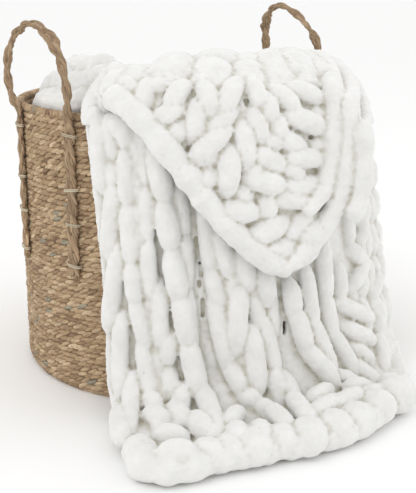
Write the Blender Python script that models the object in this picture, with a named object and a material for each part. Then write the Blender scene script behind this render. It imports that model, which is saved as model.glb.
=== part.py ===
"""A chunky knit blanket, tucked into a round woven basket and draped over its front.

Metres, +Z up. The origin is the middle of the basket's base, on the surface it stands on.
The basket's two handles are on -X and +X, and the blanket hangs over its front, -Y.
"""

import math
from collections import namedtuple

import bmesh
import bpy
from mathutils import Vector

# Basket
BASKET_RADIUS = 0.200
BASKET_HEIGHT = 0.335
WALL = 0.009
BASE = 0.010
FOOT_ROUNDING = 0.012
RIM_ROUNDING = 0.003
BASKET_STEPS = 48

# Handles: flat three-strand braids, laid down the wall and bent to a loop above the rim
STRAP_WIDTH = 0.0160
STRAP_THICK = 0.0060
STRAP_GAP = 0.0003
HANDLE_HALF_ANGLE = 15.3
HANDLE_FOOT = 0.145
LEG_HEIGHTS = (HANDLE_FOOT, 0.210, 0.270, 0.326)
TWIST_FROM = 0.395
TWIST_TO = 0.425
BRAID_PITCH = 0.027
BRAID_RELIEF = 0.0012
STRAP_STEPS = 66
STRAP_SIDES = 8
STRAP_CORNER = 0.45
CURVE_STEPS = 8

# The loops above the rim, from the rim to the top: half the loop's width there, the height, and
# how far it leans away from the basket
Arch = namedtuple("Arch", "half_width height lean")

LEFT_ARCH = (
    Arch(0.0595, 0.341, 0.0045),
    Arch(0.0630, 0.358, 0.0065),
    Arch(0.0605, 0.380, 0.0085),
    Arch(0.0505, 0.401, 0.0085),
    Arch(0.0350, 0.416, 0.0085),
    Arch(0.0160, 0.4255, 0.0090),
    Arch(0.0, 0.4290, 0.0095),
)
RIGHT_ARCH = (
    Arch(0.0525, 0.345, 0.0080),
    Arch(0.0515, 0.370, 0.0080),
    Arch(0.0495, 0.388, 0.0055),
    Arch(0.0460, 0.403, 0.0005),
    Arch(0.0390, 0.415, -0.0055),
    Arch(0.0300, 0.426, -0.0105),
    Arch(0.0150, 0.4355, -0.0150),
    Arch(0.0, 0.4400, -0.0180),
)
HANDLES = (("handle_left", -1.0, LEFT_ARCH), ("handle_right", 1.0, RIGHT_ARCH))

# Blanket: the cloth's grid, its stitches, and its folds
COARSE_ACROSS = 20
RISE_STITCH = 0.0085
LEG_LEAN = 0.22
FLOOR_CELLS = 3
COVERED_FROM = 12
COVERED_SHARE = 0.72
COVERED_RISE = 0.2
EDGE_SHARE = 0.35
EDGE_CELLS = 1.2
SHORTEST_CELL = 0.35
SLIT_ENDS = 0.25
SLIT_SWELL = 0.60
NORMAL_SHARE = 0.02
NORMAL_CELLS = 0.25
HALVINGS = 24
LEG_ROUNDNESS = 0.8
STITCH_JOIN = 0.30
HANG_WALES = 10
FLAP_WALES = 5
STITCH_ROWS = 3

# Each row is a line of the cloth's middle surface, from its left edge to its right one. Each of
# its three places is (angle, radius, height), with angles in degrees round the basket and 270 at
# its front. cells counts the grid's cells from this row to the next.
Row = namedtuple("Row", "name left middle right thickness cells")

HANG_ROWS = (
    Row("hem", (227, 0.372, 0.018), (257, 0.352, 0.018), (291, 0.318, 0.018), 0.030, 2),
    Row("apron", (221, 0.318, 0.014), (257, 0.296, 0.014), (298, 0.304, 0.014), 0.022, 1),
    Row("toe", (215, 0.262, 0.016), (258, 0.262, 0.024), (306, 0.290, 0.020), 0.018, 1),
    Row("foot", (210, 0.226, 0.046), (259, 0.240, 0.060), (312, 0.280, 0.050), 0.018, 2),
    Row("shin", (209, 0.216, 0.120), (260, 0.230, 0.130), (315, 0.262, 0.125), 0.018, 3),
    Row("waist", (207, 0.215, 0.215), (260, 0.219, 0.225), (317, 0.250, 0.220), 0.018, 3),
    Row("chest", (205, 0.215, 0.300), (260, 0.216, 0.312), (318, 0.236, 0.304), 0.018, 1),
    Row("shoulder", (204, 0.213, 0.337), (260, 0.213, 0.339), (317, 0.219, 0.341), 0.018, 1),
    Row("crest", (203, 0.193, 0.350), (260, 0.192, 0.350), (315, 0.195, 0.354), 0.018, 1),
    Row("tuck", (203, 0.171, 0.336), (260, 0.167, 0.334), (313, 0.170, 0.338), 0.018, 1),
    Row("throat", (203, 0.162, 0.300), (260, 0.160, 0.298), (312, 0.161, 0.300), 0.018, 2),
    Row("drop", (203, 0.164, 0.180), (261, 0.163, 0.180), (315, 0.164, 0.180), 0.018, 2),
    Row("corner", (203, 0.150, 0.048), (262, 0.146, 0.046), (318, 0.150, 0.048), 0.024, 1),
)
TOP_ROWS = (
    Row("back fold", (146, 0.160, 0.300), (90, 0.160, 0.316), (36, 0.160, 0.304), 0.024, 1),
    Row("back", (152, 0.168, 0.338), (90, 0.132, 0.352), (28, 0.168, 0.334), 0.020, 2),
    Row("crown", (178, 0.170, 0.347), (90, 0.020, 0.362), (2, 0.168, 0.338), 0.018, 2),
    Row("brow", (197, 0.170, 0.362), (262, 0.100, 0.371), (330, 0.160, 0.356), 0.018, 2),
    Row("lip", (208, 0.180, 0.375), (244, 0.180, 0.376), (282, 0.184, 0.379), 0.018, 1),
    Row("bend", (210, 0.214, 0.373), (241, 0.220, 0.371), (276, 0.224, 0.372), 0.018, 2),
    Row("flap top", (211, 0.240, 0.340), (241, 0.246, 0.338), (272, 0.250, 0.338), 0.018, 4),
    Row("flap middle", (212, 0.243, 0.256), (241, 0.250, 0.256), (271, 0.254, 0.257), 0.018, 4),
    Row("flap tip", (213, 0.245, 0.165), (242, 0.252, 0.163), (270, 0.257, 0.165), 0.018, 0),
)
STACK_LAYERS = 6
STACK_FLOOR = 0.029
STACK_TOP = 0.306
STACK_THICK = 0.034
STACK_TURN = 0.025

# Lines across the stack, as (angle, radius) at their left end, middle and right end
FRONT_FOLD = ((207, 0.108), (262, 0.086), (320, 0.106))
MIDDLE_LINE = ((180, 0.142), (90, 0.0001), (0, 0.142))
BACK_FOLD = ((150, 0.135), (90, 0.115), (32, 0.135))

# The flap's free edge: (share of the cloth's width, height at which that wale ends)
FLAP_EDGE = ((0.0, 0.352), (0.25, 0.298), (0.5, 0.240), (0.70, 0.192), (0.84, 0.166), (1.0, 0.205))

# Places where the stretched stitches part and leave a slit, in cells of the grid: across, the
# first one and how many are wide, and upwards, the lowest one and how many are tall.
Slit = namedtuple("Slit", "name first wide low tall")

SLITS = (
    Slit("long slit", 5, 1, 4, 5),
    Slit("right slit", 10, 1, 4, 4),
    Slit("side slit", 14, 1, 6, 2),
    Slit("left slit", 3, 1, 7, 1),
    Slit("edge slit", 1, 1, 8, 1),
    Slit("high edge slit", 1, 1, 11, 1),
    Slit("middle slit", 7, 1, 7, 1),
    Slit("low middle slit", 8, 1, 5, 1),
    Slit("apron slit", 12, 1, 3, 1),
    Slit("flap eyelet 1", 5, 1, 60, 1),
    Slit("flap eyelet 2", 9, 1, 62, 1),
    Slit("flap eyelet 3", 15, 1, 63, 1),
    Slit("flap eyelet 4", 17, 1, 61, 1),
    Slit("flap eyelet 5", 13, 1, 65, 1),
)


def clear_scene():
    for item in list(bpy.data.objects):
        bpy.data.objects.remove(item, do_unlink=True)


def material(name, colour, roughness):
    made = bpy.data.materials.new(name)
    made.use_nodes = True
    shader = made.node_tree.nodes["Principled BSDF"]
    shader.inputs["Base Color"].default_value = (*colour, 1.0)
    shader.inputs["Roughness"].default_value = roughness
    shader.inputs["Metallic"].default_value = 0.0
    return made


def add_object(name, mesh, finish, collection):
    made = bpy.data.objects.new(name, mesh)
    mesh.materials.append(finish)
    collection.objects.link(made)
    return made


def polar(angle, radius, height):
    turn = math.radians(angle)
    return Vector((radius * math.cos(turn), radius * math.sin(turn), height))


# --- basket -------------------------------------------------------------------------------


def basket_profile():
    """Half of the basket's section, down the outside, under the base and up the inside."""
    outer = BASKET_RADIUS
    inner = outer - WALL
    points = [(outer - RIM_ROUNDING, BASKET_HEIGHT), (outer, BASKET_HEIGHT - RIM_ROUNDING)]
    points += [(outer, BASKET_HEIGHT * share) for share in (0.75, 0.5, 0.25)]
    points += [(outer, FOOT_ROUNDING), (outer - FOOT_ROUNDING * 0.3, FOOT_ROUNDING * 0.3)]
    points += [(outer - FOOT_ROUNDING, 0.0), (0.0, 0.0), (0.0, BASE), (inner - FOOT_ROUNDING, BASE)]
    points += [(inner, BASE + FOOT_ROUNDING), (inner, BASKET_HEIGHT - RIM_ROUNDING)]
    points += [(inner + RIM_ROUNDING, BASKET_HEIGHT), (outer - RIM_ROUNDING, BASKET_HEIGHT)]
    return points


def build_basket(collection):
    shape = bmesh.new()
    points = basket_profile()
    line = [shape.verts.new((radius, 0.0, height)) for radius, height in points[:-1]]
    for start, end in zip(line, line[1:] + line[:1]):
        if start.co.x > 0.0 or end.co.x > 0.0:
            shape.edges.new((start, end))
    bmesh.ops.spin(
        shape,
        geom=shape.verts[:] + shape.edges[:],
        axis=(0.0, 0.0, 1.0),
        cent=(0.0, 0.0, 0.0),
        angle=2.0 * math.pi,
        steps=BASKET_STEPS,
        use_merge=False,
    )
    bmesh.ops.remove_doubles(shape, verts=shape.verts[:], dist=0.00005)
    bmesh.ops.recalc_face_normals(shape, faces=shape.faces[:])
    mesh = bpy.data.meshes.new("basket")
    shape.to_mesh(mesh)
    shape.free()
    mesh.shade_smooth()
    mesh.set_sharp_from_angle(angle=math.radians(50.0))
    add_object("basket", mesh, material("seagrass", (0.36, 0.24, 0.14), 0.85), collection)


# --- handles ------------------------------------------------------------------------------


def strap_path(side, arch):
    """The strap's middle line, up one leg, round the loop and down the other leg."""
    radius = BASKET_RADIUS + STRAP_GAP + STRAP_THICK / 2.0
    half = math.radians(HANDLE_HALF_ANGLE)
    plane = radius * math.cos(half)
    reach = radius * math.sin(half)
    rows = [Arch(reach, height, 0.0) for height in LEG_HEIGHTS] + list(arch)
    up = [Vector((side * (plane + row.lean), row.half_width, row.height)) for row in rows]
    down = [Vector((place.x, -place.y, place.z)) for place in reversed(up[:-1])]
    return up + down


def strap_face(side, centre, along):
    """Which way the strap's outer face looks: off the wall below, turning upward over the top."""
    if centre.z < BASKET_HEIGHT:
        return Vector((centre.x, centre.y, 0.0)).normalized()
    sideways = Vector((side, 0.0, 0.0))
    upward = along.cross(sideways)
    if upward.z < 0.0:
        upward.negate()
    share = min(max((centre.z - TWIST_FROM) / (TWIST_TO - TWIST_FROM), 0.0), 1.0)
    return sideways.lerp(upward, share * share * (3.0 - 2.0 * share)).normalized()


def smooth_line(points, count):
    """Count places, evenly spaced, on the smooth curve through the points."""
    dense = []
    padded = [points[0]] + points + [points[-1]]
    for p0, p1, p2, p3 in zip(padded, padded[1:], padded[2:], padded[3:]):
        for step in range(CURVE_STEPS):
            dense.append(blend_four(p0, p1, p2, p3, step / CURVE_STEPS))
    dense.append(points[-1].copy())
    lengths = [0.0]
    for start, end in zip(dense, dense[1:]):
        lengths.append(lengths[-1] + (end - start).length)
    placed = []
    index = 0
    for step in range(count):
        goal = lengths[-1] * step / (count - 1)
        while index < len(lengths) - 2 and lengths[index + 1] < goal:
            index += 1
        share = (goal - lengths[index]) / (lengths[index + 1] - lengths[index])
        placed.append(dense[index].lerp(dense[index + 1], share))
    return placed, lengths[-1]


def blend_four(p0, p1, p2, p3, t):
    """A smooth curve from p1 to p2, which never swings wide of a short step beside a long one."""
    step = (p2 - p1).length
    leave = limited(p2 - p0, min((p1 - p0).length, step))
    arrive = limited(p3 - p1, min((p3 - p2).length, step))
    square = t * t
    cube = square * t
    place = p1 * (2.0 * cube - 3.0 * square + 1.0) + p2 * (3.0 * square - 2.0 * cube)
    return place + leave * (cube - 2.0 * square + t) + arrive * (cube - square)


def limited(direction, length):
    if direction.length < 1e-9:
        return direction
    return direction.normalized() * length


def strap_ring(centre, along, outward, distance):
    """One ring of the strap's section, with the braid's strands as bumps that change sides."""
    across = along.cross(outward).normalized()
    phase = 2.0 * math.pi * distance / BRAID_PITCH
    ring = []
    for step in range(STRAP_SIDES):
        turn = 2.0 * math.pi * (step + 0.5) / STRAP_SIDES
        sway = math.cos(turn)
        bump = BRAID_RELIEF * math.sin(phase + math.copysign(math.pi / 2.0, sway))
        wide = (STRAP_WIDTH / 2.0 + bump) * sway
        thick = STRAP_THICK / 2.0 * math.copysign(abs(math.sin(turn)) ** STRAP_CORNER, math.sin(turn))
        lift = max(0.0, bump) * (1.0 if thick > 0.0 else 0.0)
        ring.append(centre + across * wide + outward * (thick + lift))
    return ring


def build_handle(name, side, arch, finish, collection):
    line, length = smooth_line(strap_path(side, arch), STRAP_STEPS)
    shape = bmesh.new()
    rings = []
    for step, centre in enumerate(line):
        before = line[max(step - 1, 0)]
        after = line[min(step + 1, len(line) - 1)]
        along = (after - before).normalized()
        outward = strap_face(side, centre, along)
        distance = length * step / (STRAP_STEPS - 1)
        rings.append(strap_ring(centre, along, outward, distance))
    loops = [[shape.verts.new(place) for place in ring] for ring in rings]
    for low, high in zip(loops, loops[1:]):
        for step in range(STRAP_SIDES):
            after = (step + 1) % STRAP_SIDES
            shape.faces.new((low[step], low[after], high[after], high[step]))
    shape.faces.new(loops[0])
    shape.faces.new(loops[-1])
    bmesh.ops.recalc_face_normals(shape, faces=shape.faces[:])
    mesh = bpy.data.meshes.new(name)
    shape.to_mesh(mesh)
    shape.free()
    mesh.shade_smooth()
    add_object(name, mesh, finish, collection)


# --- blanket ------------------------------------------------------------------------------


def stack_rows():
    """The folds inside the basket, back and forth from its floor to just under the top layer."""
    rows = []
    pitch = (STACK_TOP - STACK_FLOOR) / (STACK_LAYERS - 1)
    for layer in range(STACK_LAYERS - 1):
        height = STACK_FLOOR + pitch * layer
        lines = [[(a, r, height) for a, r in line] for line in (FRONT_FOLD, MIDDLE_LINE, BACK_FOLD)]
        forward = layer % 2
        if forward:
            lines.reverse()
        for number, cells in enumerate((2, 2, 1)):
            rows.append(Row(f"layer {layer}.{number}", *lines[number], STACK_THICK, cells))
        shift = -STACK_TURN if forward else STACK_TURN
        turn = [moved(place, shift, pitch / 2.0) for place in lines[2]]
        rows.append(Row(f"turn {layer}", *turn, STACK_THICK, 1))
    return rows


def moved(place, back, up):
    """A place given as (angle, radius, height), moved backwards and up."""
    angle, radius, height = place
    x = radius * math.cos(math.radians(angle))
    y = radius * math.sin(math.radians(angle)) + back
    return (math.degrees(math.atan2(y, x)) % 360.0, math.hypot(x, y), height + up)


def all_rows():
    return HANG_ROWS + tuple(stack_rows()) + TOP_ROWS


def arc_point(left, middle, right, share):
    """A place on the arc through three places, level in plan, with its height eased."""
    height = (
        left.z * (1.0 - share) * (1.0 - 2.0 * share)
        + middle.z * 4.0 * share * (1.0 - share)
        + right.z * share * (2.0 * share - 1.0)
    )
    chord = Vector((right.x - left.x, right.y - left.y))
    reach = Vector((middle.x - left.x, middle.y - left.y))
    along = reach.dot(chord) / chord.length_squared
    sideways = Vector((chord.y, -chord.x)).normalized()
    sagitta = reach.dot(sideways)
    weight = 4.0 * share * (1.0 - share)
    shift = (along - 0.5) * weight
    radius = abs(sagitta) / 2.0 + chord.length_squared / (8.0 * max(abs(sagitta), 1e-6))
    half = chord.length / 2.0
    x = (2.0 * (share + shift) - 1.0) * half
    depth = math.sqrt(max(radius * radius - x * x, 0.0)) - math.sqrt(
        max(radius * radius - half * half, 0.0)
    )
    if abs(sagitta) > half:
        turn = math.asin(min(1.0, half / radius))
        swing = (2.0 * (share + shift) - 1.0) * (math.pi - turn)
        x = radius * math.sin(swing)
        depth = abs(sagitta) - radius + radius * math.cos(swing)
    place = Vector((left.x, left.y)) + chord * 0.5 + chord.normalized() * x
    place += sideways * math.copysign(depth, sagitta)
    return Vector((place.x, place.y, height))


class Cloth:
    """The blanket's middle surface: across is 0 to 1, and up counts cells from the hem."""

    def __init__(self, rows):
        self.rows = rows
        self.starts = [0]
        for row in rows[:-1]:
            self.starts.append(self.starts[-1] + row.cells)
        self.cells = self.starts[-1]
        self.hang_end = self.start_of("throat")
        self.top_start = self.start_of("back fold")
        self.flap_start = self.start_of("bend")

    def start_of(self, name):
        return self.starts[[row.name for row in self.rows].index(name)]

    def between(self, up):
        index = 0
        while index < len(self.rows) - 2 and self.starts[index + 1] <= up:
            index += 1
        share = (up - self.starts[index]) / (self.starts[index + 1] - self.starts[index])
        return index, min(max(share, 0.0), 1.0)

    def point(self, across, up):
        index, share = self.between(up)
        last = len(self.rows) - 1
        near = [self.rows[min(max(index + step, 0), last)] for step in (-1, 0, 1, 2)]
        edges = []
        for column in ("left", "middle", "right"):
            edges.append(blend_four(*[polar(*getattr(row, column)) for row in near], share))
        return arc_point(*edges, across)

    def thickness(self, up):
        index, share = self.between(up)
        start = self.rows[index].thickness
        end = self.rows[min(index + 1, len(self.rows) - 1)].thickness
        return start + (end - start) * share

    def outward(self, across, up):
        """The normal of the side that shows: outside on the hang, upward on the top layer."""
        low = max(across - NORMAL_SHARE, 0.0)
        high = min(across + NORMAL_SHARE, 1.0)
        below = max(up - NORMAL_CELLS, 0.0)
        above = min(up + NORMAL_CELLS, self.cells)
        right = self.point(high, up) - self.point(low, up)
        rise = self.point(across, above) - self.point(across, below)
        return right.cross(rise).normalized()


def lerp_table(table, value):
    for (start, low), (end, high) in zip(table, table[1:]):
        if value <= end:
            return low + (high - low) * (value - start) / (end - start)
    return table[-1][1]


def stitch_rise(across, up, wales):
    """How far the yarn stands over the cloth: each wale is two columns of leaf-shaped legs."""
    column = across * wales * 2.0
    leg = math.sin(math.pi * (column % 1.0)) ** LEG_ROUNDNESS
    selvedge = column < 1.0 or column > wales * 2.0 - 1.0
    if selvedge:
        return leg
    run = (up * 2.0 / STITCH_ROWS) % 1.0
    return leg * (STITCH_JOIN + (1.0 - STITCH_JOIN) * math.sin(math.pi * run) ** LEG_ROUNDNESS)


def edge_fade(cloth, across, up):
    """Lowers the stitches where a wale runs out at the flap's slanting edge."""
    if up <= cloth.flap_start:
        return 1.0
    short = flap_end(cloth, across) - up
    return EDGE_SHARE + (1.0 - EDGE_SHARE) * min(max(short / EDGE_CELLS, 0.0), 1.0)


def leg_sway(across, up, wales):
    """Sideways lean of a leg, as a share of its column: the two legs of a stitch form a V."""
    column = across * wales * 2.0
    inward = 1.0 if int(column) % 2 == 0 else -1.0
    run = (up * 2.0 / STITCH_ROWS) % 1.0
    return LEG_LEAN * inward * (1.0 - 2.0 * run) * math.sin(math.pi * (column % 1.0))


def in_slit(place):
    for slit in SLITS:
        if 0.0 < place.x - slit.first < slit.wide and 0.0 < place.y - slit.low < slit.tall:
            return True
    return False


def slit_sway(x, y):
    """Draws a slit's two sides together at its ends, so that it is shaped like a leaf."""
    for slit in SLITS:
        middle = slit.first + slit.wide / 2.0
        if 0.0 <= y - slit.low <= slit.tall and abs(x - middle) <= slit.wide / 2.0 + 0.01:
            swell = math.sin(math.pi * (y - slit.low) / slit.tall)
            return middle + (x - middle) * (SLIT_ENDS + SLIT_SWELL * swell)
    return x


def cloth_grid(cloth):
    """The cloth laid flat: x counts cells across and y counts cells up from the hem."""
    shape = bmesh.new()
    bmesh.ops.create_grid(shape, x_segments=COARSE_ACROSS, y_segments=cloth.cells, size=0.5)
    for vert in shape.verts:
        vert.co.x = round((vert.co.x + 0.5) * COARSE_ACROSS, 3)
        vert.co.y = round((vert.co.y + 0.5) * cloth.cells, 3)
    gone = [face for face in shape.faces if in_slit(face.calc_center_median())]
    bmesh.ops.delete(shape, geom=gone, context="FACES")
    for vert in shape.verts:
        if vert.co.y > cloth.flap_start:
            end = flap_end(cloth, vert.co.x / COARSE_ACROSS)
            if vert.co.y > end - SHORTEST_CELL:
                vert.co.y = end
    bmesh.ops.remove_doubles(shape, verts=shape.verts[:], dist=0.001)
    return shape


def build_blanket(collection):
    cloth = Cloth(all_rows())
    shape = cloth_grid(cloth)
    made = bmesh.ops.extrude_face_region(shape, geom=shape.faces[:], use_keep_orig=True)
    lifted = [item for item in made["geom"] if isinstance(item, bmesh.types.BMVert)]
    bmesh.ops.translate(shape, verts=lifted, vec=(0.0, 0.0, 1.0))
    bmesh.ops.recalc_face_normals(shape, faces=shape.faces[:])
    fine = [edge for edge in shape.edges if shows(cloth, edge)]
    bmesh.ops.subdivide_edges(shape, edges=fine, cuts=1, use_grid_fill=True)
    for vert in shape.verts:
        vert.co = cloth_place(cloth, vert.co)
    mesh = bpy.data.meshes.new("knit_blanket")
    shape.to_mesh(mesh)
    shape.free()
    mesh.shade_smooth()
    finish = material("chenille", (0.88, 0.87, 0.84), 0.95)
    add_object("knit_blanket", mesh, finish, collection)


def shows(cloth, edge):
    """Whether an edge is on the side of the cloth that shows, whose faces are made finer."""
    start, end = edge.verts
    hang = start.co.z > 0.5 and end.co.z > 0.5 and max(start.co.y, end.co.y) <= cloth.hang_end
    top = start.co.z < 0.5 and end.co.z < 0.5 and min(start.co.y, end.co.y) >= cloth.top_start
    return hang or top


def flap_end(cloth, across):
    """How far up the grid a wale of the flap runs before it meets the free edge."""
    goal = lerp_table(FLAP_EDGE, across)
    low = cloth.flap_start
    high = float(cloth.cells)
    for _ in range(HALVINGS):
        middle = (low + high) / 2.0
        if cloth.point(across, middle).z > goal:
            low = middle
        else:
            high = middle
    return low


def cloth_place(cloth, flat):
    """Where a place of the flat slab comes to lie: z is 0 on one side of the cloth, 1 on the other."""
    outside = 1.0 if flat.z > 0.5 else -1.0
    hang = outside > 0.0 and flat.y <= cloth.hang_end
    top = outside < 0.0 and flat.y >= cloth.top_start
    across = slit_sway(flat.x, flat.y) / COARSE_ACROSS
    rise = 0.0
    if hang or top:
        wales = HANG_WALES if hang else FLAP_WALES
        rise = RISE_STITCH * stitch_rise(flat.x / COARSE_ACROSS, flat.y, wales)
        fade = 1.0 if hang else edge_fade(cloth, across, flat.y)
        if hang and flat.y >= COVERED_FROM and across <= COVERED_SHARE:
            fade = COVERED_RISE
        rise *= fade
        sway = leg_sway(flat.x / COARSE_ACROSS, flat.y, wales) / (2.0 * wales)
        across = min(max(across + sway * fade * fade, 0.0), 1.0)
    centre = cloth.point(across, flat.y)
    reach = cloth.thickness(flat.y) / 2.0 + rise
    place = centre + cloth.outward(across, flat.y) * reach * outside
    if flat.y <= FLOOR_CELLS:
        place.z = max(place.z, 0.0) if outside > 0.0 else 0.0
    return place


def main():
    clear_scene()
    collection = bpy.data.collections.new("knit_blanket_in_basket")
    bpy.context.scene.collection.children.link(collection)
    build_basket(collection)
    for name, side, arch in HANDLES:
        finish = material(name + "_rope", (0.42, 0.30, 0.19), 0.9)
        build_handle(name, side, arch, finish, collection)
    build_blanket(collection)


main()
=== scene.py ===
# %% [markdown]
# # A chunky knit blanket in a woven basket
# The blanket is knitted from jumbo chenille, a plush yarn as thick as a finger. It lies folded in a
# round basket of twined plant fibre, comes over the rim and hangs down to the floor in front, and its
# last corner is turned down over the top as a flap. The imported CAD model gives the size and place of
# everything. These cells dress it: the weave, the braided handles, and the yarn itself.

# %% Load the frame
import math
import random
from functools import partial

import bpy
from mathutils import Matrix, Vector, noise
from mathutils.bvhtree import BVHTree


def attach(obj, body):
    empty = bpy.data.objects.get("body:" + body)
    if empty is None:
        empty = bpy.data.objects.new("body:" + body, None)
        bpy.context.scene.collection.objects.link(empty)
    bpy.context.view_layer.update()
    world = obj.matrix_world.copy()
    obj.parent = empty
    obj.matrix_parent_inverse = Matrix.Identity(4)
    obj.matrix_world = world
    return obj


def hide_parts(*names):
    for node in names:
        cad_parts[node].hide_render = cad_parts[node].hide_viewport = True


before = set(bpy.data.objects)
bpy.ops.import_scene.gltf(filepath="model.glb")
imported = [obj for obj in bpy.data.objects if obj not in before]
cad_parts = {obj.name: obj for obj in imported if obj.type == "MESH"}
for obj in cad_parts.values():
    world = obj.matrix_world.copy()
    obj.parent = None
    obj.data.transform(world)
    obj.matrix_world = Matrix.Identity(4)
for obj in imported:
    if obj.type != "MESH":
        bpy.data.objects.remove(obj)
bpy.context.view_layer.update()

# %% [markdown]
# ## Camera
# The camera looks down a little at the basket's left front, from a little above the top of the
# handles. It is made first because some stitches are placed by where they are seen from it: a line
# from the camera through a picture position is followed until it meets the cloth.

# %% Camera
PICTURE_WIDTH = 416
PICTURE_HEIGHT = 493
FOCAL_PIXELS = 960.0
SENSOR = 36.0
CAMERA_TURN = math.radians(-40.5)
CAMERA_BACK = 1.22
CAMERA_SIDE = 0.039
CAMERA_HEIGHT = 0.484
CAMERA_DIP = math.radians(16.0)
CAMERA_REACH = 100.0


def turned(x, y, z):
    """A direction or place, turned about the basket's axis to where the camera stands."""
    cosine = math.cos(CAMERA_TURN)
    sine = math.sin(CAMERA_TURN)
    return Vector((x * cosine - y * sine, x * sine + y * cosine, z))


camera_place = turned(CAMERA_SIDE, -CAMERA_BACK, CAMERA_HEIGHT)
camera_ahead = turned(0.0, math.cos(CAMERA_DIP), -math.sin(CAMERA_DIP))
camera_right = turned(1.0, 0.0, 0.0)
camera_up = camera_right.cross(camera_ahead)
bpy.ops.object.camera_add(location=camera_place)
camera = bpy.context.object
camera.rotation_euler = camera_ahead.to_track_quat("-Z", "Y").to_euler()
camera.data.sensor_width = SENSOR
camera.data.lens = SENSOR * FOCAL_PIXELS / PICTURE_HEIGHT
camera.data.clip_end = CAMERA_REACH
bpy.context.scene.camera = camera
print("camera at", tuple(round(value, 3) for value in camera_place))


def sight(x, y):
    """The direction in which the camera sees a picture position."""
    right = camera_right * (x - PICTURE_WIDTH / 2.0)
    down = camera_up * (PICTURE_HEIGHT / 2.0 - y)
    return (camera_ahead * FOCAL_PIXELS + right + down).normalized()


# %% [markdown]
# ## Studio
# A wide white floor, a large soft light above and to the left, a weaker one to the right, and an even
# white sky. White yarn shows its stitches only through soft shade in its hollows, so the light is
# broad, and the picture's whites are kept just under pure white.

# %% Studio
FLOOR_SIDE = 70.0
FLOOR_GAP = 0.0002
FLOOR_COLOUR = (0.95, 0.95, 0.945, 1.0)
FLOOR_ROUGHNESS = 0.7
SKY = {"Color": (1.0, 1.0, 1.0, 1.0), "Strength": 1.0}
LAMP_AIM = Vector((0.0, -0.05, 0.15))
LAMPS = (
    # name, place, size, power
    ("key_light", (-1.7, -0.6, 2.3), 1.6, 11.0),
    ("fill_light", (1.6, -1.6, 1.3), 2.2, 5.0),
)


def deselect_all():
    bpy.ops.object.select_all(action="DESELECT")


def fill_in(node, inputs):
    """Gives a shader node plain values for some of its inputs."""
    for name, value in inputs.items():
        node.inputs[name].default_value = value


def new_material(name, inputs):
    """A material whose Principled shader has the given inputs."""
    made = bpy.data.materials.new(name)
    made.use_nodes = True
    shader = made.node_tree.nodes["Principled BSDF"]
    fill_in(shader, inputs)
    return made, shader


def make_studio():
    deselect_all()
    bpy.ops.mesh.primitive_plane_add(size=FLOOR_SIDE, location=(0.0, 0.0, 0.0))
    floor = bpy.context.object
    floor.name = "studio_floor"
    paint, _ = new_material("floor_paint", {"Base Color": FLOOR_COLOUR, "Roughness": FLOOR_ROUGHNESS})
    floor.data.materials.append(paint)
    for name, place, size, power in LAMPS:
        bpy.ops.object.light_add(type="AREA", location=place)
        lamp = bpy.context.object
        lamp.name = name
        lamp.data.size = size
        lamp.data.energy = power
        lamp.rotation_euler = (LAMP_AIM - Vector(place)).to_track_quat("-Z", "Y").to_euler()
    world = bpy.data.worlds.new("white_sky")
    world.use_nodes = True
    fill_in(world.node_tree.nodes["Background"], SKY)
    bpy.context.scene.world = world
    bpy.context.scene.view_settings.view_transform = "Standard"
    print("a floor and", len(LAMPS), "lamps")


make_studio()

# %% [markdown]
# ## The cloth's shape
# Before any yarn is laid, the cloth needs a smooth form to lie on. It is described row by row, from
# the hem on the floor, up the basket's front, over the rim, down inside, back and forth in the
# folds, and over the top to the flap's tip. Each row gives three places on the cloth's middle
# surface, left, middle and right, as angle round the basket, radius and height, and a smooth curve
# joins the rows. These are the same rows that the CAD blanket was made from.

# %% Rows of the cloth
HANG_ROWS = (
    # name, left, middle, right, cells to the next row
    ("hem", (227, 0.372, 0.018), (257, 0.352, 0.018), (291, 0.318, 0.018), 2),
    ("apron", (221, 0.318, 0.014), (257, 0.296, 0.014), (298, 0.304, 0.014), 1),
    ("toe", (215, 0.262, 0.016), (258, 0.262, 0.024), (306, 0.290, 0.020), 1),
    ("foot", (210, 0.226, 0.046), (259, 0.240, 0.060), (312, 0.280, 0.050), 2),
    ("shin", (209, 0.216, 0.120), (260, 0.230, 0.130), (315, 0.262, 0.125), 3),
    ("waist", (207, 0.215, 0.215), (260, 0.219, 0.225), (317, 0.250, 0.220), 3),
    ("chest", (205, 0.215, 0.300), (260, 0.216, 0.312), (318, 0.236, 0.304), 1),
    ("shoulder", (204, 0.213, 0.337), (260, 0.213, 0.339), (317, 0.219, 0.341), 1),
    ("crest", (203, 0.193, 0.350), (260, 0.192, 0.350), (315, 0.195, 0.354), 1),
    ("tuck", (203, 0.171, 0.336), (260, 0.167, 0.334), (313, 0.170, 0.338), 1),
    ("throat", (203, 0.162, 0.300), (260, 0.160, 0.298), (312, 0.161, 0.300), 2),
    ("drop", (203, 0.164, 0.180), (261, 0.163, 0.180), (315, 0.164, 0.180), 2),
    ("corner", (203, 0.150, 0.048), (262, 0.146, 0.046), (318, 0.150, 0.048), 1),
)
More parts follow.
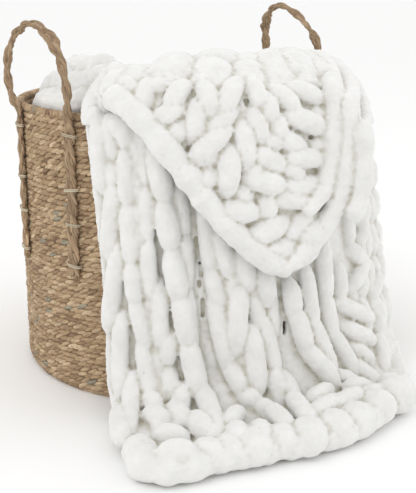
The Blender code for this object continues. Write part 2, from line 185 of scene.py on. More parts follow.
TOP_ROWS = (
    ("back fold", (146, 0.160, 0.300), (90, 0.160, 0.316), (36, 0.160, 0.304), 1),
    ("back", (152, 0.168, 0.338), (90, 0.132, 0.352), (28, 0.168, 0.334), 2),
    ("crown", (178, 0.170, 0.347), (90, 0.020, 0.362), (2, 0.168, 0.338), 2),
    ("brow", (197, 0.170, 0.362), (262, 0.100, 0.371), (330, 0.160, 0.356), 2),
    ("lip", (208, 0.180, 0.375), (244, 0.180, 0.376), (282, 0.184, 0.379), 1),
    ("bend", (210, 0.214, 0.373), (241, 0.220, 0.371), (276, 0.224, 0.372), 2),
    ("flap top", (211, 0.240, 0.340), (241, 0.246, 0.338), (272, 0.250, 0.338), 4),
    ("flap middle", (212, 0.243, 0.256), (241, 0.250, 0.256), (271, 0.254, 0.257), 4),
    ("flap tip", (213, 0.245, 0.165), (242, 0.252, 0.163), (270, 0.257, 0.165), 0),
)
STACK_LAYERS = 6
STACK_FLOOR = 0.029
STACK_TOP = 0.306
STACK_TURN = 0.025
FRONT_FOLD = ((207, 0.108), (262, 0.086), (320, 0.106))
MIDDLE_LINE = ((180, 0.142), (90, 0.0001), (0, 0.142))
BACK_FOLD = ((150, 0.135), (90, 0.115), (32, 0.135))


def polar(angle, radius, height):
    turn = math.radians(angle)
    return Vector((radius * math.cos(turn), radius * math.sin(turn), height))


def stack_rows():
    """The folds inside the basket, from its floor to just under the top layer."""
    rows = []
    pitch = (STACK_TOP - STACK_FLOOR) / (STACK_LAYERS - 1)
    for layer in range(STACK_LAYERS - 1):
        height = STACK_FLOOR + pitch * layer
        lines = [FRONT_FOLD, MIDDLE_LINE, BACK_FOLD]
        forward = layer % 2
        if forward:
            lines.reverse()
        for line, cells in zip(lines, (2, 2, 1)):
            rows.append((f"layer {layer}", *[(a, r, height) for a, r in line], cells))
        turn = []
        outward = Vector((0.0, -STACK_TURN if forward else STACK_TURN, 0.0))
        for angle, radius in lines[2]:
            bulge = polar(angle, radius, 0.0) + outward
            around = math.degrees(math.atan2(bulge.y, bulge.x)) % 360.0
            turn.append((around, math.hypot(bulge.x, bulge.y), height + pitch / 2.0))
        rows.append((f"turn {layer}", *turn, 1))
    return rows


ROWS = HANG_ROWS + tuple(stack_rows()) + TOP_ROWS
STARTS = [0]
for row in ROWS[:-1]:
    STARTS.append(STARTS[-1] + row[4])
START_OF = {row[0]: start for row, start in zip(ROWS, STARTS)}
print(len(ROWS), "rows over", STARTS[-1], "cells")

# %% Smooth surface through the rows
NORMAL_ACROSS = 0.02
NORMAL_UP = 0.25


def limited(direction, length):
    """A direction, with a length of its own."""
    return direction.normalized() * length if direction.length > 1e-9 else direction


def blend_four(p0, p1, p2, p3, t):
    """A smooth curve from p1 to p2, which never swings wide of a short step beside a long one."""
    step = (p2 - p1).length
    leave = limited(p2 - p0, min((p1 - p0).length, step))
    arrive = limited(p3 - p1, min((p3 - p2).length, step))
    square = t * t
    cube = square * t
    place = p1 * (2.0 * cube - 3.0 * square + 1.0) + p2 * (3.0 * square - 2.0 * cube)
    return place + leave * (cube - 2.0 * square + t) + arrive * (cube - square)


def smooth_curve(places, steps):
    """A smooth curve through some places, with so many steps from each to the next."""
    padded = [places[0]] + places + [places[-1]]
    curve = []
    for p0, p1, p2, p3 in zip(padded, padded[1:], padded[2:], padded[3:]):
        curve += [blend_four(p0, p1, p2, p3, step / steps) for step in range(steps)]
    curve.append(places[-1].copy())
    return curve


def arc_point(left, middle, right, share):
    """A place on the arc through three places, level in plan, with its height eased."""
    height = (
        left.z * (1.0 - share) * (1.0 - 2.0 * share)
        + middle.z * 4.0 * share * (1.0 - share)
        + right.z * share * (2.0 * share - 1.0)
    )
    chord = Vector((right.x - left.x, right.y - left.y))
    reach = Vector((middle.x - left.x, middle.y - left.y))
    sideways = Vector((chord.y, -chord.x)).normalized()
    sagitta = reach.dot(sideways)
    shift = (reach.dot(chord) / chord.length_squared - 0.5) * 4.0 * share * (1.0 - share)
    swing = 2.0 * (share + shift) - 1.0
    half = chord.length / 2.0
    radius = abs(sagitta) / 2.0 + half * half / (2.0 * max(abs(sagitta), 1e-6))
    if abs(sagitta) > half:
        swing *= math.pi - math.asin(min(1.0, half / radius))
        x = radius * math.sin(swing)
        depth = abs(sagitta) - radius + radius * math.cos(swing)
    else:
        x = swing * half
        rise = math.sqrt(max(radius * radius - x * x, 0.0))
        depth = rise - math.sqrt(max(radius * radius - half * half, 0.0))
    place = Vector((left.x, left.y)) + chord * 0.5 + chord.normalized() * x
    place += sideways * math.copysign(depth, sagitta)
    return Vector((place.x, place.y, height))


def cloth_point(across, up):
    """The cloth's middle surface: across is 0 to 1, and up counts cells from the hem."""
    index = 0
    while index < len(ROWS) - 2 and STARTS[index + 1] <= up:
        index += 1
    share = min(max((up - STARTS[index]) / (STARTS[index + 1] - STARTS[index]), 0.0), 1.0)
    near = [ROWS[min(max(index + step, 0), len(ROWS) - 1)] for step in (-1, 0, 1, 2)]
    edges = [blend_four(*[polar(*row[column]) for row in near], share) for column in (1, 2, 3)]
    return arc_point(*edges, across)


def cloth_normal(across, up):
    """The side that shows: outside on the hang and the flap, upward on the top layer."""
    low, high = max(across - NORMAL_ACROSS, 0.0), min(across + NORMAL_ACROSS, 1.0)
    below, above = max(up - NORMAL_UP, 0.0), min(up + NORMAL_UP, STARTS[-1])
    right = cloth_point(high, up) - cloth_point(low, up)
    rise = cloth_point(across, above) - cloth_point(across, below)
    side = -1.0 if up >= START_OF["back fold"] else 1.0
    return right.cross(rise).normalized() * side


# %% [markdown]
# ## Forms to lay the yarn on
# A form is the cloth's middle surface over some of its rows, as an invisible mesh. Lines of sight
# from the camera are tested against it with a BVH tree, which finds the first face that a line
# meets and that face's direction.

# %% Forms
FORM_ACROSS = 40
FORM_PER_CELL = 4
# the flap's right edge lies past its rows, by this much of their width
FLAP_SPREAD = 1.16


def make_form(low, high, last=1.0):
    """A search tree over the cloth's middle surface, between two places up the cloth."""
    steps = int((high - low) * FORM_PER_CELL)
    places = []
    for step in range(steps + 1):
        up = low + (high - low) * step / steps
        places += [cloth_point(last * column / FORM_ACROSS, up) for column in range(FORM_ACROSS + 1)]
    wide = FORM_ACROSS + 1
    faces = []
    for step in range(steps):
        for column in range(FORM_ACROSS):
            corner = step * wide + column
            faces.append((corner, corner + 1, corner + wide + 1, corner + wide))
    return BVHTree.FromPolygons(places, faces)


hang_form = make_form(0.0, START_OF["tuck"])
flap_form = make_form(START_OF["brow"], STARTS[-1])
edge_form = make_form(START_OF["brow"], STARTS[-1], FLAP_SPREAD)


def picture_spot(place):
    """Where the camera sees a place: the inverse of sight."""
    offset = place - camera_place
    depth = offset.dot(camera_ahead)
    x = PICTURE_WIDTH / 2.0 + offset.dot(camera_right) / depth * FOCAL_PIXELS
    y = PICTURE_HEIGHT / 2.0 - offset.dot(camera_up) / depth * FOCAL_PIXELS
    return x, y


def met_on(form, x, y):
    """Where a line of sight meets a form, with the form's outward direction."""
    ray = sight(x, y)
    place, normal, _, _ = form.ray_cast(camera_place, ray)
    if place is None:
        return None
    return place, -normal if normal.dot(ray) > 0.0 else normal


def seen_on(form, x, y, height=0.0):
    """A place raised off a form, which the camera sees at a picture position."""
    met = met_on(form, x, y)
    if met is None:
        return None
    seen_x, seen_y = picture_spot(met[0] + met[1] * height)
    place, normal = met_on(form, 2.0 * x - seen_x, 2.0 * y - seen_y) or met
    return place + normal * height, normal


print("a line of sight meets the flap at", seen_on(flap_form, 250, 150)[0])

# %% [markdown]
# ## One leg of yarn
# A knitted stitch shows as two slanting legs, fat in the middle and tucked under their neighbours at
# both ends. One leg is modelled once, as a small sphere of yarn. Each copy is drawn out along its own
# short line on the cloth, widest in its middle and dipping into the cloth at its ends.

# %% Leg of yarn
TINY = 1e-6
LEG_SEGMENTS = 12
LEG_RINGS = 16
LEG_FULLNESS = 2.6
LONG_LEG = 1.35
LEG_DEPTH = 0.92
LEG_DIP = 0.30
LEG_OVERLAP = 0.10
LEG_LOOK = 0.1
FLAP_PLUSH = 1.12
HANG_PLUSH = 1.21
FLOOR_PLUSH = 1.12
ROPE_RINGS = 80
ROPE_STEPS = 10
ROPE_LOOK = 0.02
ROPE_END_RINGS = 5.0
ROPE_SWELL = 0.24
ROPE_SWELL_SIZE = 0.017
# how far the yarn usually lies from the camera
YARN_DISTANCE = 1.08
random.seed(7)


def sphere_shape(segments, rings):
    """The places and faces of a ball, to be drawn out into legs, leaves, strands and ties."""
    deselect_all()
    bpy.ops.mesh.primitive_uv_sphere_add(segments=segments, ring_count=rings, radius=1.0)
    ball = bpy.context.object
    places = [vert.co.copy() for vert in ball.data.vertices]
    faces = [tuple(face.vertices) for face in ball.data.polygons]
    bpy.data.objects.remove(ball, do_unlink=True)
    return places, faces


def pole_share(spot):
    """How far a point of a ball lies from its lower pole to its upper one, along the surface."""
    return 1.0 - math.acos(min(max(spot.z, -1.0), 1.0)) / math.pi


def round_part(spot):
    """The direction of a ball's point from the ball's axis."""
    ring = math.hypot(spot.x, spot.y)
    return (spot.x / ring, spot.y / ring) if ring > TINY else (0.0, 0.0)


LEG_PLACES, LEG_FACES = sphere_shape(LEG_SEGMENTS, LEG_RINGS)
ROPE_PLACES, ROPE_FACES = sphere_shape(LEG_SEGMENTS, ROPE_RINGS)
print("one leg has", len(LEG_FACES), "faces")


def along(places, share):
    """A place part of the way along a short line of places."""
    scaled = min(max(share, 0.0), 1.0) * (len(places) - 1)
    index = min(int(scaled), len(places) - 2)
    return places[index].lerp(places[index + 1], scaled - index)


def add_leg(yarn, line, normals, width, dip=LEG_DIP):
    """Draws one copy of the leg along a line, with its own width, into the list yarn."""
    places, faces = yarn
    first = len(places)
    length = sum((end - start).length for start, end in zip(line, line[1:]))
    fullness = max(LEG_FULLNESS, LONG_LEG * length / width)
    for spot in LEG_PLACES:
        share = (spot.z + 1.0) / 2.0
        middle = along(line, share)
        forward = (along(line, share + LEG_LOOK) - along(line, share - LEG_LOOK)).normalized()
        normal = along(normals, share).normalized()
        side = forward.cross(normal).normalized()
        x, y = round_part(spot)
        full = (1.0 - abs(spot.z) ** fullness) ** 0.5 * width / 2.0
        sink = dip * width * abs(2.0 * share - 1.0) ** fullness
        places.append(middle + side * (x * full) + normal * (y * full * LEG_DEPTH - sink))
    faces += [tuple(first + corner for corner in face) for face in LEG_FACES]


def stretched(line, share):
    """A line made longer at both ends, so that one leg reaches under the next."""
    before = (line[0] - line[1]) * share * len(line)
    after = (line[-1] - line[-2]) * share * len(line)
    return [line[0] + before] + line[1:-1] + [line[-1] + after]


# %% [markdown]
# ## Legs placed by where they are seen
# The stitches of the flap are pulled every way by the fold, and those of the hang are drawn out into
# long chains with slits between them, so a regular pattern would look wrong. Each chain is a list of
# picture positions, and every two neighbours in it are the ends of one leg. Its width is in picture
# units too, and becomes a real width at the leg's distance from the camera.

# %% Chains that the camera sees
FLAP_CHAINS = (
    # width, lift, then the joints
    (17, 0.0, (149, 78), (141, 112)),
    (18, 0.2, (190, 72), (168, 106)),
    (17, 0.0, (184, 103), (151, 124)),
    (17, -0.1, (186, 122), (164, 148)),
    (17, 0.0, (198, 98), (194, 142)),
    (18, 0.2, (202, 78), (214, 114)),
    (18, 0.2, (237, 76), (222, 112)),
    (17, 0.0, (235, 104), (208, 137)),
    (18, 0.2, (229, 128), (192, 160)),
    (16, -0.1, (220, 152), (183, 164)),
    (18, 0.0, (217, 168), (196, 191)),
    (20, 0.2, (230, 148), (228, 195)),
    (18, 0.0, (243, 122), (248, 172)),
    (17, 0.1, (248, 70), (263, 108)),
    (17, 0.0, (252, 108), (264, 145)),
    (16, 0.1, (268, 92), (272, 124)),
    (16, 0.0, (276, 112), (283, 146)),
    (17, 0.1, (272, 84), (300, 112)),
    (17, 0.2, (286, 84), (324, 98)),
    (15, 0.0, (284, 72), (308, 68)),
    (19, 0.1, (288, 114), (327, 129)),
    (14, -0.1, (306, 122), (328, 106)),
    (17, 0.0, (276, 134), (306, 150)),
    (18, 0.1, (288, 156), (330, 160)),
    (13, 0.0, (309, 150), (328, 137)),
    (15, 0.0, (261, 138), (286, 144)),
    (19, 0.0, (252, 152), (286, 168)),
    (17, 0.0, (284, 162), (304, 181)),
    (18, 0.0, (246, 166), (262, 178)),
    (20, 0.1, (246, 176), (286, 188)),
    (19, 0.0, (280, 187), (324, 184)),
    (18, 0.0, (272, 198), (312, 200)),
    (18, 0.0, (267, 191), (268, 222)),
    (20, 0.1, (220, 210), (260, 213)),
    (20, 0.1, (248, 239), (288, 222)),
    (18, 0.0, (284, 240), (314, 208)),
    (22, 0.2, (344, 204), (302, 244)),
    (17, 0.0, (146, 70), (121, 88)),
    (14, 0.0, (112, 65), (118, 82)),
    (14, 0.0, (125, 83), (136, 95)),
    (16, 0.0, (152, 64), (162, 92)),
    (20, 0.0, (254, 256), (296, 244)),
    (20, 0.0, (280, 266), (326, 244)),
    (16, 0.0, (214, 140), (205, 168)),
    (16, -0.1, (236, 184), (250, 206)),
)
EDGE_CHAINS = (
    # the flap's fat selvedge strands: width, lift, then the joints, seen or as angle, radius, height
    (24, 0.20, (86, 78), (108, 92), (130, 109), (151, 131), (171, 155), (190, 180), (206, 203)),
    (24, 0.15, (196, 189), (212, 209), (231, 230), (251, 248), (272, 262), (290, 268)),
    (22, 0.4, (322, 0.140, 0.366), (306, 0.164, 0.382), (292, 0.190, 0.384), (284, 0.216, 0.376),
     (333, 86), (335, 110), (333, 140), (330, 166), (323, 190), (305, 214)),
    (21, 0.3, (328, 0.160, 0.362), (310, 0.184, 0.374), (297, 0.206, 0.374), (289, 0.231, 0.362),
     (350, 100), (350, 120), (348, 145), (344, 178), (336, 205), (318, 234), (300, 256), (282, 270)),
    (19, 0.1, (335, 0.172, 0.352), (318, 0.196, 0.362), (303, 0.218, 0.358), (296, 0.238, 0.335),
     (363, 128), (364, 160), (362, 190), (352, 222)),
)
ROLL_FLATNESS = 0.62
ROLLS = (
    # fat loops where the cloth turns over the rim: across the cloth, width, rise
    (0.055, 0.030, 0.003),
    (0.135, 0.030, 0.005),
    (0.205, 0.028, 0.004),
    (0.305, 0.046, 0.015),
    (0.495, 0.048, 0.015),
    (0.665, 0.040, 0.011),
    (0.795, 0.043, 0.015),
    (0.915, 0.042, 0.016),
    (1.01, 0.034, 0.012),
)
FREE_STRANDS = (
    # strands at the hang's top corner and inside the rim beside it: width, angle, radius and height
    (0.024, (206, 0.213, 0.325), (206, 0.208, 0.350), (208, 0.192, 0.368), (204, 0.165, 0.372)),
    (0.022, (209, 0.213, 0.325), (210, 0.208, 0.354), (212, 0.196, 0.374), (208, 0.170, 0.380)),
    (0.036, (158, 0.168, 0.326), (170, 0.170, 0.336), (186, 0.171, 0.337), (202, 0.170, 0.348)),
    (0.046, (146, 0.158, 0.330), (162, 0.146, 0.350), (180, 0.148, 0.350), (200, 0.154, 0.364)),
    (0.044, (124, 0.140, 0.344), (146, 0.122, 0.364), (170, 0.124, 0.364), (194, 0.134, 0.374)),
)
HANG_CHAINS = (
    # width, lift, then the joints
    (15, 0.2, (92, 84), (95, 126)),
    (15, 0.2, (97, 118), (101, 188)),
    (16, 0.1, (115, 176), (108, 254)),
    (16, 0.1, (119, 244), (108, 326)),
    (15, 0.2, (121, 318), (119, 392)),
    (16, 0.2, (133, 374), (128, 428)),
    (13, 0.25, (107, 112), (112, 160), (112, 190)),
    (15, 0.35, (124, 104), (125, 150), (127, 205), (131, 262), (135, 305)),
    (15, 0.2, (134, 296), (146, 348)),
    (15, 0.2, (141, 342), (152, 398)),
    (16, 0.2, (149, 390), (160, 428)),
    (15, 0.4, (113, 100), (118, 140)),
    (14, 0.3, (145, 124), (145, 185), (147, 240), (151, 296)),
    (12, 0.3, (136, 118), (137, 200), (139, 250)),
    (15, 0.2, (158, 284), (161, 346)),
    (15, 0.2, (170, 332), (167, 366), (174, 398)),
    (16, 0.2, (184, 384), (177, 428)),
    (13, 0.0, (150, 290), (157, 345), (163, 400)),
    (19, 0.45, (154, 140), (164, 200), (171, 250), (179, 300)),
    (18, 0.3, (179, 292), (189, 348)),
    (19, 0.3, (187, 340), (200, 394)),
    (18, 0.3, (202, 388), (218, 434)),
    (15, 0.1, (177, 180), (183, 235), (186, 290), (191, 350)),
    (15, 0.2, (204, 200), (210, 268), (220, 312)),
    (17, 0.2, (214, 300), (229, 368)),
    (17, 0.2, (226, 360), (246, 395)),
    (17, 0.2, (240, 390), (262, 408)),
    (17, 0.2, (258, 402), (284, 424)),
    (16, 0.35, (216, 226), (231, 276)),
    (17, 0.4, (240, 244), (250, 290)),
    (17, 0.4, (262, 264), (270, 304)),
    (16, 0.1, (237, 258), (230, 306)),
    (18, 0.4, (240, 287), (236, 353)),
    (18, 0.4, (251, 330), (260, 389)),
    (15, 0.0, (247, 270), (262, 338)),
    (16, 0.1, (262, 318), (276, 374)),
    (12, -0.1, (269, 275), (274, 335)),
    (18, 0.1, (270, 364), (283, 404)),
    (18, 0.1, (281, 372), (298, 410)),
    (21, -0.1, (233, 322), (244, 378)),
    (20, -0.1, (243, 366), (250, 402)),
    (18, -0.45, (206, 330), (216, 376), (230, 408)),
    (17, 0.3, (290, 280), (296, 318)),
    (17, 0.3, (294, 308), (309, 352)),
    (17, 0.3, (305, 346), (338, 384)),
    (15, 0.2, (306, 268), (314, 330)),
    (15, 0.2, (312, 318), (334, 372)),
    (16, 0.2, (322, 236), (327, 300)),
    (15, 0.1, (325, 292), (334, 340)),
    (15, 0.1, (332, 330), (356, 372)),
    (15, 0.1, (338, 262), (342, 300)),
    (15, 0.1, (338, 302), (372, 318)),
    (15, 0.1, (344, 326), (374, 340)),
    (14, 0.0, (352, 345), (374, 362)),
    (15, 0.1, (336, 372), (366, 390)),
    (15, 0.0, (352, 362), (380, 384)),
    (14, 0.0, (346, 205), (350, 246)),
    (16, 0.1, (366, 262), (350, 290)),
    (15, 0.1, (350, 246), (368, 268)),
    (16, 0.1, (382, 262), (372, 296)),
    (16, 0.1, (376, 296), (380, 336)),
    (16, 0.1, (378, 332), (386, 366)),
    (15, 0.1, (362, 210), (362, 246)),
    (15, 0.1, (374, 200), (376, 240)),
    (14, 0.0, (374, 236), (380, 266)),
)
EYELETS = (
    # deep gaps between the flap's stitches: picture place, half width and half height
    (155, 98, 5, 9),
    (168, 130, 4, 3),
    (188, 149, 6, 5),
    (218, 104, 4, 6),
    (248, 104, 4, 9),
    (283, 149, 4, 5),
    (310, 79, 5, 6),
    (308, 139, 4, 6),
    (235, 193, 7, 4),
)
HANG_SLITS = (
    # places where the hang's back shows the basket through it, in the same terms
    (194.5, 226, 2.4, 13),
    (197, 250, 2.5, 16),
    (200, 276, 2.5, 17),
    (203, 305, 2.4, 17),
    (206, 334, 1.8, 10),
    (214, 372, 1.8, 7),
    (283, 327, 2.4, 9),
    (346, 250, 3.0, 6),
    (233, 280, 2.0, 6),
)
# the flap's slanting lower edge: across, height
FLAP_EDGE = ((0.0, 0.352), (0.25, 0.298), (0.5, 0.240), (0.70, 0.192), (0.84, 0.166), (1.0, 0.205))
FLOOR_CHAINS = (
    # the last stitches over the floor, then the hem's fat wraps: width, height, joints
    (20, 0.026, (144, 410), (172, 424)),
    (22, 0.026, (152, 432), (190, 438)),
    (24, 0.028, (192, 414), (208, 436)),
    (22, 0.024, (218, 424), (214, 444)),
    (20, 0.024, (284, 420), (286, 438)),
    (20, 0.024, (308, 412), (306, 436)),
    (23, 0.030, (236, 424), (239, 444)),
    (21, 0.030, (259, 422), (263, 442)),
    (18, 0.030, (241, 408), (226, 426)),
    (18, 0.034, (268, 406), (290, 426)),
    (18, 0.034, (290, 394), (312, 422)),
    (19, 0.034, (310, 416), (340, 397)),
    (18, 0.034, (332, 406), (362, 391)),
    (17, 0.032, (308, 400), (332, 386)),
    (18, 0.030, (342, 386), (374, 386)),
    (18, 0.028, (360, 398), (386, 388)),
    (18, 0.030, (172, 402), (187, 424)),
    (20, 0.022, (119, 408), (122, 442)),
    (20, 0.026, (378, 382), (402, 382)),
    (28, 0.018, (138, 440), (140, 460)),
    (33, 0.0175, (160, 460), (158, 470)),
    (32, 0.0175, (184, 459), (182, 468)),
    (22, 0.028, (312, 412), (342, 400)),
    (22, 0.026, (336, 406), (366, 392)),
    (28, 0.016, (286, 424), (330, 414)),
    (28, 0.016, (326, 414), (374, 392)),
    (26, 0.016, (300, 404), (340, 390)),
    (27, 0.030, (156, 454), (198, 450)),
    (35, 0.020, (211, 446), (205, 464)),
    (32, 0.021, (232, 440), (227, 459)),
    (36, 0.022, (256, 436), (252, 456)),
    (32, 0.022, (283, 431), (280, 449)),
    (36, 0.022, (310, 425), (307, 446)),
    (35, 0.023, (336, 418), (333, 436)),
    (34, 0.023, (358, 410), (356, 428)),
    (33, 0.023, (376, 398), (380, 414)),
    (36, 0.023, (396, 386), (398, 402)),
)
HEM_ROPE = (
    # the hem's own body under its wraps: width, height, joints
    (32, 0.017, (139, 450), (146, 463), (168, 467), (200, 462)),
    (30, 0.017, (136, 456), (148, 466), (168, 469), (195, 464), (222, 457), (250, 451), (280, 445),
     (307, 440), (335, 433), (358, 424), (378, 410), (394, 398)),
)


# %% Laying the chains
LINE_PARTS = 6
FEWEST_SPOTS = 4
ROLL_STEPS = 8
ROLL_LEAN = 1.15
ROLL_SINK = 0.002
FLOOR_DIP = 0.1
UPWARD = Vector((0.0, 0.0, 1.0))


def picture_line(start, end):
    """Picture positions along one leg."""
    spots = []
    for step in range(LINE_PARTS + 1):
        share = step / LINE_PARTS
        spots.append((start[0] + (end[0] - start[0]) * share, start[1] + (end[1] - start[1]) * share))
    return spots


def lay_seen(yarn, form, chains, raise_by, plush):
    """Lays every leg of the chains on a form, raised off its middle surface."""
    missed = 0
    for width, lift, *joints in chains:
        real = plush * width * YARN_DISTANCE / FOCAL_PIXELS
        for start, end in zip(joints, joints[1:]):
            spots = [seen_on(form, x, y, raise_by + lift * real) for x, y in picture_line(start, end)]
            spots = [spot for spot in spots if spot is not None]
            if len(spots) < FEWEST_SPOTS:
                missed += 1
                continue
            line, normals = map(list, zip(*spots))
            add_leg(yarn, stretched(line, LEG_OVERLAP), normals, real)
    print(len(chains), "chains laid,", missed, "legs off the form")


def free_normal(place):
    """Up and outward, for a strand over the rim."""
    return Vector((place.x, place.y, place.to_2d().length)).normalized()


def add_rope(yarn, places, normals, width, depth=LEG_DEPTH):
    """One long strand on a smooth curve through its places."""
    curve = smooth_curve(places, ROPE_STEPS)
    first = len(yarn[0])
    for spot in ROPE_PLACES:
        share = pole_share(spot)
        middle = along(curve, share)
        forward = (along(curve, share + ROPE_LOOK) - along(curve, share - ROPE_LOOK)).normalized()
        side = forward.cross(along(normals, share)).normalized()
        ring = math.hypot(spot.x, spot.y)
        close = min(1.0, math.sqrt(min(share, 1.0 - share) * ROPE_RINGS / ROPE_END_RINGS))
        swell = 1.0 + ROPE_SWELL * noise.noise(middle / ROPE_SWELL_SIZE)
        full = close * swell * width / 2.0 / ring if ring > TINY else 0.0
        yarn[0].append(middle + side * spot.x * full + side.cross(forward) * spot.y * full * depth)
    yarn[1].extend([tuple(first + corner for corner in face) for face in ROPE_FACES])


def lay_edges(yarn, forms, chains, raise_by):
    """Lays one unbroken strand through the joints of each chain, as the cloth's edges show."""
    for width, lift, *joints in chains:
        real = width * YARN_DISTANCE / FOCAL_PIXELS
        spots = []
        for joint in joints:
            if len(joint) == 3:
                spots.append((polar(*joint), free_normal(polar(*joint))))
                continue
            hits = [seen_on(form, *joint, raise_by + lift * real) for form in forms]
            spots += [hit for hit in hits if hit is not None][:1]
        places, normals = map(list, zip(*spots))
        add_rope(yarn, places, normals, real)


def lay_free(yarn, strands):
    """Lays strands whose places are given as angle, radius and height."""
    for width, *spots in strands:
        places = [polar(*spot) for spot in spots]
        add_rope(yarn, places, [free_normal(place) for place in places], width)


def lay_rolls(yarn, low, high):
    """Fat loops over the turn, from behind it to the flap's first stitches."""
    for across, width, rise in ROLLS:
        places, normals = [], []
        for step in range(ROLL_STEPS + 1):
            share = step / ROLL_STEPS
            up = low + (high - low) * share
            normal = cloth_normal(across, up)
            arch = rise * math.sin(math.pi * min(share * ROLL_LEAN, 1.0))
            places.append(cloth_point(across, up) + normal * (arch - ROLL_SINK))
            normals.append(normal)
        add_rope(yarn, places, normals, width, ROLL_FLATNESS)


def on_floor(x, y, height):
    """Where the camera sees a place at a height over the floor."""
    ray = sight(x, y)
    return camera_place + ray * ((height - camera_place.z) / ray.z)


def lay_hem(yarn, chains):
    """Lays the hem's long strands over the floor."""
    for width, height, *joints in chains:
        places = [on_floor(x, y, height) for x, y in joints]
        add_rope(yarn, places, [UPWARD] * len(places), width * YARN_DISTANCE / FOCAL_PIXELS)


def lay_on_floor(yarn, chains):
    """Lays the stitches and the wraps that lie on the floor, one leg each."""
    for width, height, start, end in chains:
        line = [on_floor(x, y, height) for x, y in picture_line(start, end)]
        real = FLOOR_PLUSH * width * (line[0] - camera_place).dot(camera_ahead) / FOCAL_PIXELS
        add_leg(yarn, line, [UPWARD] * len(line), real, FLOOR_DIP)


# %% [markdown]
# ## Regular stitches
# Where the cloth lies quietly, on top of the basket and round its right side, the stitches are
# regular: columns of V shapes, two legs to a stitch. Here they are placed across and up the cloth.

# %% Regular stitches
STITCH_OVERLAP = 1.25
STITCH_FOOT = 0.12
STITCH_HEAD = 0.36
STITCH_WIDTHS = (0.94, 1.06)


def cloth_line(start, end, raise_by):
    """A line on the cloth between two (across, up) places, with its normals."""
    line, normals = [], []
    for step in range(LINE_PARTS + 1):
        across = start[0] + (end[0] - start[0]) * step / LINE_PARTS
        up = start[1] + (end[1] - start[1]) * step / LINE_PARTS
        normal = cloth_normal(across, up)
        normals.append(normal)
        line.append(cloth_point(across, up) + normal * raise_by)
    return line, normals


def lay_regular(yarn, low, high, wales, cells, width, raise_by, first=0.0, last=1.0):
    """Columns of V stitches over part of the cloth."""
    rows = max(1, round((high - low) / cells))
    wale = (last - first) / wales
    for row in range(rows):
        bottom = low + (high - low) * row / rows
        top = bottom + (high - low) / rows * STITCH_OVERLAP
        for column in range(wales):
            middle = first + wale * (column + 0.5)
            for side in (-1.0, 1.0):
                start = (middle + side * wale * STITCH_FOOT, bottom)
                end = (min(max(middle + side * wale * STITCH_HEAD, 0.0), 1.0), min(top, high))
                line, normals = cloth_line(start, end, raise_by)
                add_leg(yarn, line, normals, width * random.uniform(*STITCH_WIDTHS))


# %% [markdown]
# ## Plush yarn
# Chenille has no hard edge anywhere: its pile fills the creases between the legs. So the legs of one
# stretch of cloth are fused by a voxel remesh, smoothed, and roughened by a little noise, as pile is.

# %% Fuse the legs
FUSE = 0.0019
SOFTEN = 0.6
MOST_TRIANGLES = 185000
PILE_HEIGHT = 0.0008
PILE_SIZE = 0.0042
FINE_PILE = 0.45
FINE_PILE_SHARE = 0.5
# how far the crease mark spreads and how strongly it paints shade
CREASE_SPREAD = 4
PAINTED_SHADE_GAIN = 5.4


def add_object(name, mesh):
    """Puts a mesh into the scene, as the one object that is selected and active."""
    made = bpy.data.objects.new(name, mesh)
    bpy.context.scene.collection.objects.link(made)
    deselect_all()
    made.select_set(True)
    bpy.context.view_layer.objects.active = made
    return made


def apply_modifier(made, kind, **settings):
    """Adds a modifier with some settings, and applies it."""
    modifier = made.modifiers.new("step", kind)
    for name, value in settings.items():
        setattr(modifier, name, value)
    bpy.ops.object.modifier_apply(modifier="step")


def mark_creases(shape):
    """Stores how deep in a crease each point lies, from 0 to 1, for the material to paint shade there."""
    places = [vert.co for vert in shape.vertices]
    normals = [vert.normal for vert in shape.vertices]
    pairs = [tuple(edge.vertices) for edge in shape.edges]
    counts = [0] * len(places)
    hollow = [0.0] * len(places)
    for first, second in pairs:
        step = places[second] - places[first]
        length = step.length + TINY
        hollow[first] += step.dot(normals[first]) / length
        hollow[second] -= step.dot(normals[second]) / length
        counts[first] += 1
        counts[second] += 1
    hollow = [value / max(count, 1) for value, count in zip(hollow, counts)]
    for _ in range(CREASE_SPREAD):
        spread = [0.0] * len(places)
        for first, second in pairs:
            spread[first] += hollow[second]
            spread[second] += hollow[first]
        hollow = [(own + near / max(count, 1)) / 2.0 for own, near, count in zip(hollow, spread, counts)]
    marks = [min(max(value * PAINTED_SHADE_GAIN, 0.0), 1.0) for value in hollow]
    shape.attributes.new("crease", "FLOAT", "POINT").data.foreach_set("value", marks)


def fuse(name, yarn, voxel=FUSE, most=MOST_TRIANGLES):
    """Turns the loose legs into one plush mesh."""
    places, faces = yarn
    mesh = bpy.data.meshes.new(name)
    mesh.from_pydata(places, [], faces)
    made = add_object(name, mesh)
    apply_modifier(made, "REMESH", mode="VOXEL", voxel_size=voxel, use_smooth_shade=True)
    apply_modifier(made, "SMOOTH", factor=SOFTEN, iterations=1)
    shape = made.data
    normals = [vert.normal.copy() for vert in shape.vertices]
    for vert, normal in zip(shape.vertices, normals):
        pile = noise.noise(vert.co / PILE_SIZE)
        pile += FINE_PILE_SHARE * noise.noise(vert.co / (PILE_SIZE * FINE_PILE))
        vert.co += normal * pile * PILE_HEIGHT
        vert.co.z = max(vert.co.z, FLOOR_GAP)
    shape.update()
    triangles = 2 * len(shape.polygons)
    if triangles > most:
        apply_modifier(made, "DECIMATE", ratio=most / triangles)
    made.data.shade_smooth()
    mark_creases(made.data)
    print(name, triangles, "triangles, kept", sum(len(face.vertices) - 2 for face in made.data.polygons))
    return made


# %% [markdown]
# Behind the legs lies the knit's purl side, a plain ground that closes the spaces between them. It is
# left open where the basket shows through a slit in the hang, and lies deeper at the flap's gaps.

